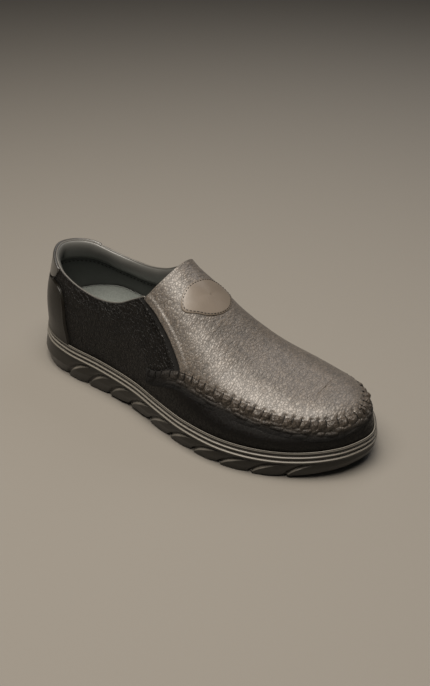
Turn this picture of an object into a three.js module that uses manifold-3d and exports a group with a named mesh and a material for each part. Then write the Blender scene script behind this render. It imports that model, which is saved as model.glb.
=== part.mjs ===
// A man's slip-on leather shoe, right foot: a moulded rubber cup sole, a hollow leather upper,
// a raised moccasin apron with its gathered seam, elastic gores, heel counter, heel tab,
// padded collar, insole and a bare badge patch.
// Millimetres. +X runs from heel to toe, +Y to the inner (medial) side, +Z up.
// In the construction frame x = 0 is the back of the sole and y = 0 the heel's centre line.
import * as THREE from "three";
import { mergeVertices } from "three/addons/utils/BufferGeometryUtils.js";
import Module from "manifold-3d";

const wasm = await Module();
wasm.setup();

// Driving dimensions of the whole shoe.
const soleLength = 292;
const ballWidth = 112;
const soleHeelHeight = 31;
const collarBackHeight = 93.5;
const vampCrestHeight = 114;

// Sole.
const lipWidth = 3;
const lipDepth = 4;
const ribBandHeight = 8.5;
const ribDepth = 1.1;
const wallTaper = 1.6;
const floorBevel = 1.4;
const heelFlare = 2.6;
const toeSpring = 9;
const grooveCount = 10;
const grooveDepth = 2.4;
const grooveWidth = 4;
const grooveLean = 36;
const treadDepth = 2.4;
const archRise = 2;
const archSpan = [0.26, 0.54];
const springStart = 0.76;
const flareEnd = 0.32;
const grooveSpan = [0.143, 0.845];

// Upper and what lies on it.
const seatGap = 0.3;
const upperWall = 2;
const overlayThickness = 1.4;
const counterThickness = 1.1;
const sideSwell = 2.2;
const swellEnd = 0.55; // share of the last's height up to which its side swells out
const seamRadius = 2.6;
const seamHeight = 3;
const seamSides = 6;
const goreWidth = 6;
const goreRecess = 0.9;
const goreThickness = 1.2;
const goreGrip = 1.5; // how much wider the strip's clearance is along x, where its edges slant
const insoleThickness = 13;
const insoleRimRise = 14;
const insoleRimLean = 1.6;
const insoleFlatShare = 0.55; // of the half width, inside the raised rim
const padThickness = 3.2;
const padHeight = 17;
const padFrontGap = 3;
const footRun = 2; // straight end of the collar's edge at the foot of the vamp's edge
const badgeLength = 22;
const badgeWidth = 45;
const badgeThickness = 0.7;

// Mesh fineness: half-planes round the heel and the toe, stations between them, and rows.
const fanSteps = 8;
const stationCount = 18;
const wallRows = 10;
const badgeSteps = 12;
const curveSteps = 3;
const footSteps = 4;

// Sole outline. along is a share of soleLength, outer and inner are shares of ballWidth
// measured from the heel's centre line to the lateral and the medial edge.
const soleOutline = [
  { along: 0.0, outer: 0.0, inner: 0.0 },
  { along: 0.025, outer: 0.155, inner: 0.17 },
  { along: 0.08, outer: 0.275, inner: 0.3 },
  { along: 0.16, outer: 0.341, inner: 0.344 },
  { along: 0.28, outer: 0.368, inner: 0.35 },
  { along: 0.4, outer: 0.413, inner: 0.348 },
  { along: 0.5, outer: 0.48, inner: 0.372 },
  { along: 0.6, outer: 0.538, inner: 0.423 },
  { along: 0.7, outer: 0.552, inner: 0.462 },
  { along: 0.79, outer: 0.506, inner: 0.46 },
  { along: 0.87, outer: 0.414, inner: 0.415 },
  { along: 0.93, outer: 0.306, inner: 0.335 },
  { along: 0.975, outer: 0.17, inner: 0.205 },
  { along: 1.0, outer: -0.03, inner: 0.03 },
];

// Side view of the sole and the last. top is the sole's upper edge as a share of
// soleHeelHeight; ridge is the last's top line as a share of vampCrestHeight; swell scales
// sideSwell; lean and round are the section's exponents, upwards and outwards.
const lastStations = [
  { along: 0.0, top: 0.95, ridge: 1.18, swell: 0.6, lean: 1.5, round: 2.1 },
  { along: 0.13, top: 0.93, ridge: 1.16, swell: 0.8, lean: 1.45, round: 2.1 },
  { along: 0.28, top: 0.9, ridge: 1.2, swell: 0.8, lean: 1.5, round: 2.1 },
  { along: 0.42, top: 0.85, ridge: 1.07, swell: 0.7, lean: 1.85, round: 2.0 },
  { along: 0.465, top: 0.82, ridge: 0.975, swell: 0.7, lean: 1.9, round: 2.0 },
  { along: 0.52, top: 0.775, ridge: 0.88, swell: 0.8, lean: 1.88, round: 2.1 },
  { along: 0.58, top: 0.74, ridge: 0.745, swell: 0.9, lean: 1.85, round: 2.2 },
  { along: 0.64, top: 0.72, ridge: 0.625, swell: 1.0, lean: 1.9, round: 2.4 },
  { along: 0.7, top: 0.7, ridge: 0.535, swell: 1.0, lean: 2.0, round: 2.6 },
  { along: 0.78, top: 0.685, ridge: 0.468, swell: 0.9, lean: 2.13, round: 2.8 },
  { along: 0.87, top: 0.7, ridge: 0.424, swell: 0.7, lean: 2.18, round: 2.9 },
  { along: 1.0, top: 0.8, ridge: 0.39, swell: -0.3, lean: 2.2, round: 2.9 },
];

// Collar line in side view: along as a share of soleLength, up as a share of collarBackHeight.
const collarLine = [
  { along: -0.1, up: 1.0 },
  { along: 0.01, up: 1.0 },
  { along: 0.045, up: 0.993 },
  { along: 0.08, up: 0.96 },
  { along: 0.13, up: 0.904 },
  { along: 0.2, up: 0.857 },
  { along: 0.27, up: 0.839 },
  { along: 0.335, up: 0.878 },
  { along: 0.385, up: 0.96 },
  { along: 0.42, up: 1.02 },
];
const collarTiltRatio = 0.065; // rise of the collar's edge per millimetre towards the medial side

// Side view places, as shares of soleLength and of vampCrestHeight.
const vampEdge = { foot: { along: 0.42, up: 0.82 }, crest: { along: 0.466, up: 1.0 } };
const goreLine = [
  { along: 0.402, up: 0.84 },
  { along: 0.425, up: 0.8 },
  { along: 0.458, up: 0.75 },
  { along: 0.486, up: 0.7 },
  { along: 0.511, up: 0.65 },
  { along: 0.533, up: 0.595 },
  { along: 0.552, up: 0.54 },
  { along: 0.566, up: 0.495 },
];
const seamLine = [
  { along: 0.435, lateral: 0.39, medial: 0.39 },
  { along: 0.49, lateral: 0.41, medial: 0.41 },
  { along: 0.53, lateral: 0.455, medial: 0.445 },
  { along: 0.57, lateral: 0.477, medial: 0.455 },
  { along: 0.62, lateral: 0.462, medial: 0.405 },
  { along: 0.7, lateral: 0.419, medial: 0.345 },
  { along: 0.8, lateral: 0.375, medial: 0.325 },
  { along: 0.87, lateral: 0.358, medial: 0.342 },
  { along: 0.93, lateral: 0.358, medial: 0.365 },
  { along: 1.0, lateral: 0.385, medial: 0.385 },
];

// Front edge of the counter: up is a share of the way from the sole's top to the collar's back.
const counterEdge = [
  { along: 0.087, up: 0.7 },
  { along: 0.115, up: 0.686 },
  { along: 0.134, up: 0.636 },
  { along: 0.151, up: 0.477 },
  { along: 0.156, up: 0.274 },
  { along: 0.166, up: 0.0 },
];

// The insole, thickest under the heel and with its highest rim beside it.
const footbed = [
  { along: 0.0, thickness: 1.0, rim: 0.5 },
  { along: 0.1, thickness: 1.0, rim: 0.8 },
  { along: 0.16, thickness: 1.0, rim: 1.0 },
  { along: 0.24, thickness: 0.98, rim: 0.85 },
  { along: 0.4, thickness: 0.8, rim: 0.55 },
  { along: 0.6, thickness: 0.5, rim: 0.25 },
  { along: 0.75, thickness: 0.4, rim: 0.1 },
  { along: 1.0, thickness: 0.4, rim: 0.0 },
];

// Lower edge of the heel tab: up is a share of collarBackHeight.
const tabEdge = [
  { along: -0.1, up: 0.785 },
  { along: 0.05, up: 0.785 },
  { along: 0.085, up: 0.805 },
  { along: 0.105, up: 0.85 },
  { along: 0.118, up: 0.95 },
];
const badgePlace = { along: 0.5445, across: -0.05 };
const badgePointShare = 0.11; // how far the badge's corners stand out, as a share of its radius
const badgeTurn = THREE.MathUtils.degToRad(9);

const heelCentre = 0.13 * soleLength;
const toeCentre = 0.865 * soleLength;

// Smooth interpolation of one column of a table of stations.
function column(table, key, place) {
  const x = THREE.MathUtils.clamp(place, table[0].along, table.at(-1).along);
  let i = 0;
  while (i < table.length - 2 && x > table[i + 1].along) i++;
  const [a, b] = [table[i], table[i + 1]];
  const span = b.along - a.along;
  const slope = (p, q) => (q[key] - p[key]) / (q.along - p.along);
  const before = i > 0 ? slope(table[i - 1], b) : slope(a, b);
  const after = i < table.length - 2 ? slope(a, table[i + 2]) : slope(a, b);
  const t = (x - a.along) / span;
  const rise = (2 * t ** 3 - 3 * t ** 2 + 1) * a[key] + (3 * t ** 2 - 2 * t ** 3) * b[key];
  return rise + span * ((t ** 3 - 2 * t ** 2 + t) * before + (t ** 3 - t ** 2) * after);
}

const station = (key, x) => column(lastStations, key, x / soleLength);
const soleTop = (x) => soleHeelHeight * station("top", x);
const ridgeHeight = (x) => vampCrestHeight * station("ridge", x);

// The sole's outline in plan as one closed curve through the table's points.
const outlineCurve = new THREE.CatmullRomCurve3(
  [
    ...soleOutline.map((p) => [p.along * soleLength, -p.outer * ballWidth]),
    ...soleOutline
      .slice(1, -1)
      .reverse()
      .map((p) => [p.along * soleLength, p.inner * ballWidth]),
  ].map(([x, y]) => new THREE.Vector3(x, y, 0)),
  true,
  "centripetal",
);
const outlinePoints = outlineCurve.getPoints(360).slice(0, -1);

// The middle of the outline at one station, which the last's ridge follows.
function centreLine(x) {
  const side = (sign) => reach(new THREE.Vector2(x, 0), new THREE.Vector2(0, sign));
  return (side(1) - side(-1)) / 2;
}

// Distance in plan from a point inside the outline to the outline, along a unit direction.
function reach(from, direction) {
  let best = 0;
  outlinePoints.forEach((p, i) => {
    const q = outlinePoints[(i + 1) % outlinePoints.length];
    const [ex, ey] = [q.x - p.x, q.y - p.y];
    const cross = direction.x * ey - direction.y * ex;
    if (Math.abs(cross) < 1e-9) return;
    const [wx, wy] = [p.x - from.x, p.y - from.y];
    const along = (wx * ey - wy * ex) / cross;
    const share = (wx * direction.y - wy * direction.x) / cross;
    if (share >= -1e-9 && share <= 1 + 1e-9 && along > best) best = along;
  });
  return best;
}

// Half-planes round the shoe, counter-clockwise from above, starting behind the heel.
function halfPlanes() {
  const planes = [];
  const add = (x, angle) => {
    const root = new THREE.Vector2(x, centreLine(x));
    const out = new THREE.Vector2(Math.cos(angle), Math.sin(angle));
    planes.push({ root, out, reach: reach(root, out) });
  };
  const quarter = Math.PI / 2;
  for (let i = 0; i < fanSteps; i++) add(heelCentre, Math.PI + (quarter * i) / fanSteps);
  for (let i = 0; i < stationCount; i++) {
    add(THREE.MathUtils.lerp(heelCentre, toeCentre, i / stationCount), -quarter);
  }
  for (let i = 0; i < 2 * fanSteps; i++) add(toeCentre, -quarter + (quarter * i) / fanSteps);
  for (let i = 0; i < stationCount; i++) {
    add(THREE.MathUtils.lerp(toeCentre, heelCentre, i / stationCount), quarter);
  }
  for (let i = 0; i < fanSteps; i++) add(heelCentre, quarter + (quarter * i) / fanSteps);
  return planes;
}
const planes = halfPlanes();

// A point of the sole's edge, moved in by inset, at height z.
function edgePoint(plane, inset, z) {
  const r = plane.reach - inset;
  return new THREE.Vector3(plane.root.x + plane.out.x * r, plane.root.y + plane.out.y * r, z);
}

// Height of the sole's upper edge at one half-plane.
const topAt = (plane) => soleTop(edgePoint(plane, 0, 0).x);
const bedAt = (plane) => topAt(plane) - lipDepth;

// The last's surface: share 0 is the bed of the sole, share 1 the ridge.
function lastPoint(plane, share) {
  const edgeX = edgePoint(plane, 0, 0).x;
  const base = bedAt(plane) + seatGap;
  const top = ridgeHeight(plane.root.x);
  const angle = (share * Math.PI) / 2;
  const up = Math.sin(angle) ** (2 / station("lean", edgeX));
  const out = Math.max(0, Math.cos(angle)) ** (2 / station("round", edgeX));
  const lipShare = lipDepth / (top - base);
  const rise = THREE.MathUtils.clamp((up - lipShare) / (swellEnd - lipShare), 0, 1);
  const swell = sideSwell * station("swell", edgeX) * Math.sin(Math.PI * rise) ** 2;
  const r = (plane.reach - lipWidth - seatGap) * out + swell;
  return new THREE.Vector3(
    plane.root.x + plane.out.x * r,
    plane.root.y + plane.out.y * r,
    THREE.MathUtils.lerp(base, top, up),
  );
}

// Outward normal of the last at one place, by differences between neighbours.
function lastNormal(i, share) {
  const step = 0.01;
  const low = Math.min(Math.max(share - step, 0), 1 - 2 * step);
  const up = lastPoint(planes[i], low + 2 * step).sub(lastPoint(planes[i], low));
  const before = planes[(i + planes.length - 1) % planes.length];
  const after = planes[(i + 1) % planes.length];
  const round = lastPoint(after, low + step).sub(lastPoint(before, low + step));
  return round.cross(up).normalize();
}

// A place on the last moved out along its normal; on the ridge the normal is upright.
function offsetPoint(i, share, offset) {
  const p = lastPoint(planes[i], share);
  if (share === 1) return p.add(new THREE.Vector3(0, 0, offset));
  return p.addScaledVector(lastNormal(i, share), offset);
}

// Closed solid from vertices and triangles: coincident vertices merged, flat triangles dropped.
function solid(points, triangles) {
  const raw = new THREE.BufferGeometry().setAttribute(
    "position",
    new THREE.Float32BufferAttribute(
      points.flatMap((p) => [p.x, p.y, p.z]),
      3,
    ),
  );
  raw.setIndex(triangles.flat());
  return solidOfGeometry(raw);
}

function solidOfGeometry(geometry) {
  const bare = geometry.clone();
  bare.deleteAttribute("normal");
  bare.deleteAttribute("uv");
  const merged = mergeVertices(bare, 1e-3);
  const kept = [];
  const index = merged.index.array;
  for (let i = 0; i < index.length; i += 3) {
    const [a, b, c] = index.slice(i, i + 3);
    if (a !== b && b !== c && c !== a) kept.push(a, b, c);
  }
  return new wasm.Manifold(
    new wasm.Mesh({
      numProp: 3,
      vertProperties: merged.attributes.position.array,
      triVerts: new Uint32Array(kept),
    }),
  );
}

// Solid from rings of equal length, lowest first, closed by strips across its two end rings.
function ringSolid(rings) {
  const n = rings[0].length;
  const points = rings.flat();
  const triangles = [];
  const quad = (a, b, c, d) => triangles.push([a, b, c], [a, c, d]);
  for (let r = 0; r + 1 < rings.length; r++) {
    for (let i = 0; i < n; i++) {
      const j = (i + 1) % n;
      quad(r * n + i, r * n + j, (r + 1) * n + j, (r + 1) * n + i);
    }
  }
  const last = (rings.length - 1) * n;
  for (let i = 0; i < n / 2; i++) {
    const [a, b, c, d] = [i, (i + 1) % n, (n - i - 1) % n, (n - i) % n];
    quad(a, d, c, b);
    quad(last + a, last + b, last + c, last + d);
  }
  return solid(points, triangles);
}

// The last's form at one offset, from below the bed to its ridge.
function lastForm(offset, drop = 0) {
  const rings = [];
  if (drop > 0) {
    rings.push(planes.map((p, i) => offsetPoint(i, 0, offset).setZ(bedAt(p) + seatGap - drop)));
  }
  for (let r = 0; r <= wallRows; r++) {
    rings.push(planes.map((_, i) => offsetPoint(i, r / wallRows, offset)));
  }
  return ringSolid(rings);
}

// Prism of a side-view outline across the shoe, between two depths in y.
function sidePrism(points, yLow, yHigh) {
  const shape = new THREE.Shape(points.map(([x, z]) => new THREE.Vector2(x, z)));
  const geometry = new THREE.ExtrudeGeometry(shape, { depth: yHigh - yLow, bevelEnabled: false });
  geometry.rotateX(Math.PI / 2);
  geometry.translate(0, yHigh, 0);
  return solidOfGeometry(geometry);
}

// Prism of a plan outline between two heights.
function planPrism(points, zLow, zHigh) {
  const shape = new THREE.Shape(points.map(([x, y]) => new THREE.Vector2(x, y)));
  const geometry = new THREE.ExtrudeGeometry(shape, { depth: zHigh - zLow, bevelEnabled: false });
  geometry.translate(0, 0, zLow);
  return solidOfGeometry(geometry);
}

const farOut = soleLength; // a length past every face of the shoe
const sidePlace = (p, height) => [p.along * soleLength, p.up * height];

// One column of a table as fine side-view points.
function sideCurve(table, key, height, steps) {
  const low = table[0].along;
  const high = table.at(-1).along;
  return Array.from({ length: steps + 1 }, (_, i) => {
    const along = THREE.MathUtils.lerp(low, high, i / steps);
    return [along * soleLength, column(table, key, along) * height];
  });
}

// Everything over the collar line and behind the vamp's top edge. The collar is tilted: its
// lateral side is cut lower than its medial side.
function opening(drop = 0) {
  const collar = sideCurve(collarLine, "up", collarBackHeight, 16).map(([x, z]) => [x, z - drop]);
  const [footX, footZ] = sidePlace(vampEdge.foot, vampCrestHeight);
  const [crestX, crestZ] = sidePlace(vampEdge.crest, vampCrestHeight);
  const outline = [
    ...collar.filter(([x]) => x < footX - footRun),
    [footX, footZ - drop],
    [crestX, crestZ],
    [crestX, farOut],
    [-farOut, farOut],
    [-farOut, collar[0][1]],
  ];
  const tilt = new THREE.Matrix4().set(1, 0, 0, 0, 0, 1, 0, 0, 0, collarTiltRatio, 1, 0, 0, 0, 0, 1);
  return sidePrism(outline, -farOut, farOut).transform(tilt.elements);
}

// Height of the underside: flat under heel and ball, raised at the arch and the toe.
function soleBottom(x) {
  const share = x / soleLength;
  const [archStart, archEnd] = archSpan;
  const inArch = THREE.MathUtils.clamp((share - archStart) / (archEnd - archStart), 0, 1);
  const inToe = Math.max(0, (share - springStart) / (1 - springStart));
  return archRise * Math.sin(Math.PI * inArch) ** 2 + toeSpring * inToe ** 2;
}

// The sole's side from the ground up. inset is in millimetres from the outline and flare is a
// share of heelFlare; below the rib band, wall is a share of the wall's height; in the band, band
// is a share of ribBandHeight.
const soleSide = [
  { wall: 0.0, inset: wallTaper + floorBevel, flare: 0.1 },
  { wall: 0.08, inset: wallTaper, flare: 0.5 },
  { wall: 0.5, inset: 0.5 * wallTaper, flare: 1.0 },
  { wall: 0.94, inset: ribDepth + 0.5, flare: 0.6 },
  { band: 0.04, inset: 0.2 },
  { band: 0.22, inset: 0.2 },
  { band: 0.32, inset: ribDepth + 0.4 },
  { band: 0.4, inset: ribDepth + 0.4 },
  { band: 0.5, inset: 0.6 },
  { band: 0.64, inset: 0.6 },
  { band: 0.73, inset: ribDepth + 0.6 },
  { band: 0.8, inset: ribDepth + 0.6 },
  { band: 0.9, inset: 1.0 },
  { band: 1.0, inset: 1.2 },
];

function soleBlank() {
  const rings = soleSide.map((row) =>
    planes.map((plane) => {
      const heel = THREE.MathUtils.smoothstep(-edgePoint(plane, 0, 0).x, -flareEnd * soleLength, 0);
      const p = edgePoint(plane, row.inset - heelFlare * heel * (row.flare ?? 0), 0);
      const bandFoot = topAt(plane) - ribBandHeight;
      if ("band" in row) return p.setZ(bandFoot + row.band * ribBandHeight);
      return p.setZ(THREE.MathUtils.lerp(soleBottom(p.x), bandFoot, row.wall));
    }),
  );
  rings.push(planes.map((plane) => edgePoint(plane, lipWidth, topAt(plane))));
  rings.push(planes.map((plane) => edgePoint(plane, lipWidth, bedAt(plane))));
  return ringSolid(rings);
}

// One groove in side view: a crescent that leaves the ground steeply, leans forward and
// closes under the rib band.
function grooveCrescent(x) {
  const tipX = x + grooveLean;
  const tipZ = soleTop(tipX) - ribBandHeight;
  const ground = -1;
  const rear = new THREE.CubicBezierCurve(
    new THREE.Vector2(x, ground),
    new THREE.Vector2(x + 0.12 * grooveLean, 0.55 * tipZ),
    new THREE.Vector2(x + 0.4 * grooveLean, 0.9 * tipZ),
    new THREE.Vector2(tipX, tipZ),
  );
  const front = new THREE.CubicBezierCurve(
    new THREE.Vector2(tipX, tipZ),
    new THREE.Vector2(x + 0.5 * grooveLean, 0.84 * tipZ),
    new THREE.Vector2(x + grooveWidth + 0.12 * grooveLean, 0.45 * tipZ),
    new THREE.Vector2(x + grooveWidth, ground),
  );
  return [...rear.getPoints(curveSteps), ...front.getPoints(curveSteps).slice(1)].map((p) => [p.x, p.y]);
}

function sole() {
  const inner = planes.map((plane) => edgePoint(plane, 0.5 * wallTaper + grooveDepth, 0));
  const core = planPrism(inner.map((p) => [p.x, p.y]), treadDepth, farOut);
  let made = soleBlank();
  for (let k = 0; k < grooveCount; k++) {
    const share = THREE.MathUtils.lerp(...grooveSpan, k / (grooveCount - 1));
    const groove = sidePrism(grooveCrescent(share * soleLength), -farOut, farOut);
    made = made.subtract(groove.subtract(core));
  }
  return made;
}

// Layer of the last's form between two offsets from its surface.
const layer = (inner, outer) => lastForm(outer).subtract(lastForm(inner));

// The upper: one hollow wall, open at the collar and underneath, recessed for the gores.
function upper() {
  const wall = lastForm(0).subtract(lastForm(-upperWall, lipDepth)).subtract(opening());
  const recess = layer(-goreRecess, upperWall).intersect(sidePrism(goreStrip(0), -farOut, farOut));
  return wall.subtract(recess);
}

// Side view of the gore strip behind the gore line, drawn in by a margin on every side.
function goreStrip(margin) {
  const line = sideCurve(goreLine, "up", vampCrestHeight, 8);
  line[0][1] -= margin;
  line.at(-1)[1] += margin;
  const front = line.map(([x, z]) => [x - goreGrip * margin, z]);
  const back = line.map(([x, z]) => [x - goreWidth + goreGrip * margin, z]);
  return [...front, ...back.reverse()];
}

function gore(yLow, yHigh) {
  const skin = layer(seatGap - goreRecess, seatGap - goreRecess + goreThickness);
  return skin.intersect(sidePrism(goreStrip(seatGap), yLow, yHigh)).subtract(opening());
}

// One side of the region in front of the gore line and over the seam line, grown by a clearance.
function apronRegion(key, clearance, yLow, yHigh) {
  const gores = sideCurve(goreLine, "up", vampCrestHeight, 8).map(([x, z]) => [x - clearance, z]);
  const seam = sideCurve(seamLine, key, vampCrestHeight, 18)
    .filter(([x]) => x > gores.at(-1)[0] + goreWidth / 2)
    .map(([x, z]) => [x, z - clearance]);
  const front = [farOut * 1.2, seam.at(-1)[1]];
  const outline = [...gores, ...seam, front, [front[0], farOut], [gores[0][0], farOut]];
  return sidePrism(outline, yLow, yHigh);
}

// The apron's panel, or the room that it takes with a clearance round it.
function apronPanel(clearance) {
  const lateral = apronRegion("lateral", clearance, -farOut, 0);
  const medial = apronRegion("medial", clearance, 0, farOut);
  const skin = layer(seatGap - clearance, seatGap + overlayThickness + clearance);
  return skin.intersect(lateral.add(medial));
}

const apron = () => apronPanel(0).subtract(opening());

// Share of the last's height at which a half-plane meets the seam line.
function seamShare(plane) {
  const side = plane.out.y < 0 ? "lateral" : "medial";
  let [low, high] = [0, 1];
  for (let i = 0; i < 30; i++) {
    const middle = (low + high) / 2;
    const p = lastPoint(plane, middle);
    const seam = column(seamLine, side, p.x / soleLength) * vampCrestHeight;
    if (p.z < seam) low = middle;
    else high = middle;
  }
  return low;
}

// The gathered seam: a rounded bead that follows the apron's edge from gore to gore.
function mocSeam() {
  const start = seamLine[0].along * soleLength;
  const used = planes.map((_, i) => i).filter((i) => edgePoint(planes[i], 0, 0).x > start);
  const sections = used.map((i) => {
    const edge = seamShare(planes[i]);
    const step = 0.01;
    const stretch = lastPoint(planes[i], edge).distanceTo(lastPoint(planes[i], edge - step)) / step;
    const middle = edge - (seamRadius + seatGap) / stretch;
    return Array.from({ length: seamSides }, (_, k) => {
      const turn = (2 * Math.PI * (k + 0.5)) / seamSides;
      const share = middle + (seamRadius * Math.cos(turn)) / stretch;
      return offsetPoint(i, share, seatGap + (seamHeight * (1 + Math.sin(turn))) / 2);
    });
  });
  const n = seamSides;
  const triangles = [];
  for (let s = 0; s + 1 < sections.length; s++) {
    for (let k = 0; k < n; k++) {
      const [a, b] = [s * n + k, s * n + ((k + 1) % n)];
      triangles.push([a, b, a + n], [b, b + n, a + n]);
    }
  }
  const end = (sections.length - 1) * n;
  for (let k = 1; k + 1 < n; k++) {
    triangles.push([0, k + 1, k], [end, end + k, end + k + 1]);
  }
  return solid(sections.flat(), triangles).subtract(apronPanel(seatGap));
}

// Side view over the sole's upper edge and behind an edge table that runs from top to bottom.
function behind(table) {
  const edge = table.map((p) => {
    const x = p.along * soleLength;
    return [x, THREE.MathUtils.lerp(soleTop(x) + seatGap, collarBackHeight, p.up)];
  });
  const front = edge.at(-1)[0];
  const foot = Array.from({ length: footSteps }, (_, i) => {
    const x = front * (1 - (i + 1) / footSteps);
    return [x, soleTop(x) + seatGap];
  });
  return [...edge, ...foot, [-farOut, foot.at(-1)[1]], [-farOut, edge[0][1]]];
}

function heelCounter() {
  const skin = layer(seatGap, seatGap + counterThickness);
  return skin.intersect(sidePrism(behind(counterEdge), -farOut, farOut)).subtract(tabRegion(0));
}

// Side view region over the heel tab's lower edge, raised by a clearance.
function tabRegion(clearance) {
  const edge = sideCurve(tabEdge, "up", collarBackHeight, 16).map(([x, z]) => [x, z + clearance]);
  return sidePrism([...edge, [edge.at(-1)[0], farOut], [edge[0][0], farOut]], -farOut, farOut);
}

function heelTab() {
  const skin = layer(seatGap, seatGap + counterThickness);
  return skin.intersect(tabRegion(seatGap)).subtract(opening());
}

// Padded roll inside the collar, down to padHeight under the collar line.
function collarPad() {
  const outer = -upperWall - seatGap;
  const front = vampEdge.foot.along * soleLength - padFrontGap;
  const skin = layer(outer - padThickness, outer);
  const behindVamp = sidePrism(
    [
      [-farOut, 0],
      [front, 0],
      [front, farOut],
      [-farOut, farOut],
    ],
    -farOut,
    farOut,
  );
  return skin.intersect(behindVamp).intersect(opening(padHeight)).subtract(opening());
}

// Cupped insole: its rim leans against the upper and its middle lies on the bed of the sole.
function insole() {
  const inset = lipWidth + upperWall + 3 * seatGap;
  const ring = (extraInset, flat, height) =>
    planes.map((plane) => {
      const across = flat * (plane.reach - inset);
      const p = edgePoint(plane, plane.reach - across + extraInset, 0);
      return p.setZ(bedAt(plane) + seatGap + height(edgePoint(plane, 0, 0).x / soleLength));
    });
  const thickness = (along) => insoleThickness * column(footbed, "thickness", along);
  const rim = (along) => insoleRimRise * column(footbed, "rim", along);
  return ringSolid([
    ring(0, 1, () => 0),
    ring(insoleRimLean, 1, (along) => thickness(along) + rim(along)),
    ring(0, insoleFlatShare, thickness),
  ]);
}

// Bare rounded triangle on the apron, one corner towards the toe.
function badge() {
  const inner = 2 * seatGap + overlayThickness;
  const skin = layer(inner, inner + badgeThickness);
  const outline = Array.from({ length: badgeSteps }, (_, i) => {
    const turn = (2 * Math.PI * i) / badgeSteps;
    const pull = (1 + badgePointShare * Math.cos(3 * turn)) / 2;
    const corner = new THREE.Vector2(badgeLength * Math.cos(turn), badgeWidth * Math.sin(turn));
    corner.multiplyScalar(pull).rotateAround(new THREE.Vector2(), -badgeTurn);
    return [badgePlace.along * soleLength + corner.x, badgePlace.across * ballWidth + corner.y];
  });
  return skin.intersect(planPrism(outline, 0.5 * vampCrestHeight, farOut));
}

// Colours and surfaces, as they are in daylight.
const materials = {
  grainLeather: { color: 0x1d1a18, roughness: 0.5, metalness: 0 },
  smoothLeather: { color: 0x1b1917, roughness: 0.38, metalness: 0 },
  lining: { color: 0x343a39, roughness: 0.65, metalness: 0 },
  sock: { color: 0x59605e, roughness: 0.6, metalness: 0 },
  elastic: { color: 0x101213, roughness: 0.85, metalness: 0 },
  rubber: { color: 0x191817, roughness: 0.6, metalness: 0 },
};

// A solid as a named mesh with its own material.
function mesh(name, made, look) {
  const data = made.getMesh();
  const geometry = new THREE.BufferGeometry();
  geometry.setAttribute("position", new THREE.BufferAttribute(data.vertProperties, 3));
  geometry.setIndex(new THREE.BufferAttribute(data.triVerts, 1));
  geometry.computeVertexNormals();
  const piece = new THREE.Mesh(geometry, new THREE.MeshStandardMaterial(materials[look]));
  piece.name = name;
  return piece;
}

// The part's origin is under the middle of its box.
function shoe() {
  const group = new THREE.Group();
  group.add(
    mesh("outsole", sole(), "rubber"),
    mesh("upper", upper(), "grainLeather"),
    mesh("vamp_apron", apron(), "grainLeather"),
    mesh("moc_seam", mocSeam(), "grainLeather"),
    mesh("gore_lateral", gore(-farOut, 0), "elastic"),
    mesh("gore_medial", gore(0, farOut), "elastic"),
    mesh("heel_counter", heelCounter(), "smoothLeather"),
    mesh("heel_tab", heelTab(), "smoothLeather"),
    mesh("collar_pad", collarPad(), "lining"),
    mesh("insole", insole(), "sock"),
    mesh("badge_patch", badge(), "smoothLeather"),
  );
  const box = new THREE.Box3().setFromObject(group);
  group.position.set(-(box.min.x + box.max.x) / 2, -(box.min.y + box.max.y) / 2, 0);
  return group;
}

export default shoe();
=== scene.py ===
"""Looks of a man's slip-on leather shoe: leather, rubber, elastic, thread and lining in fine mesh
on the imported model, with the floor, the light and the camera.

Shapes are worked out in millimetres in the part's construction frame, where x = 0 is the back
of the sole and y = 0 the heel's centre line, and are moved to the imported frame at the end.
"""

import math

import bmesh
import bpy
import numpy as np
from mathutils import Matrix, Vector, noise


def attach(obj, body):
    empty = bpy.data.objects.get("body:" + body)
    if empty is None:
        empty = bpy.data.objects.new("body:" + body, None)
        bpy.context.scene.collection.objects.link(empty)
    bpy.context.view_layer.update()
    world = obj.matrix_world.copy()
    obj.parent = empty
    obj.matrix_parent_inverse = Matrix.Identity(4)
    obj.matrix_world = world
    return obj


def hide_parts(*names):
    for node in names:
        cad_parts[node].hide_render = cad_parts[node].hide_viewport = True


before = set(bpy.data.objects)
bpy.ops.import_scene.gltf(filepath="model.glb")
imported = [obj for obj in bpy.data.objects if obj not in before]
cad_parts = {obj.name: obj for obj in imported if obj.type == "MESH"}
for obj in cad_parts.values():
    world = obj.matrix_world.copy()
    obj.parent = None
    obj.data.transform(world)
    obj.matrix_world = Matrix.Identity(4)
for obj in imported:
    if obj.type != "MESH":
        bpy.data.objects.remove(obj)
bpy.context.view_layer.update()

MM = 0.001
BODY = "root"
SHIFT = np.array([-144.904, 4.862, 0.0])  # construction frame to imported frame

# Camera, fitted to the photograph.
FRAME_WIDTH, FRAME_HEIGHT = 430, 686
FOCAL_PIXELS = 848.5
CAMERA_AZIMUTH = math.radians(33.349)
CAMERA_ELEVATION = math.radians(31.689)
CAMERA_ROLL = math.radians(1.094)
CAMERA_DISTANCE = 664.5
CAMERA_TARGET = (142.72, 28.36, 31.85)

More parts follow.
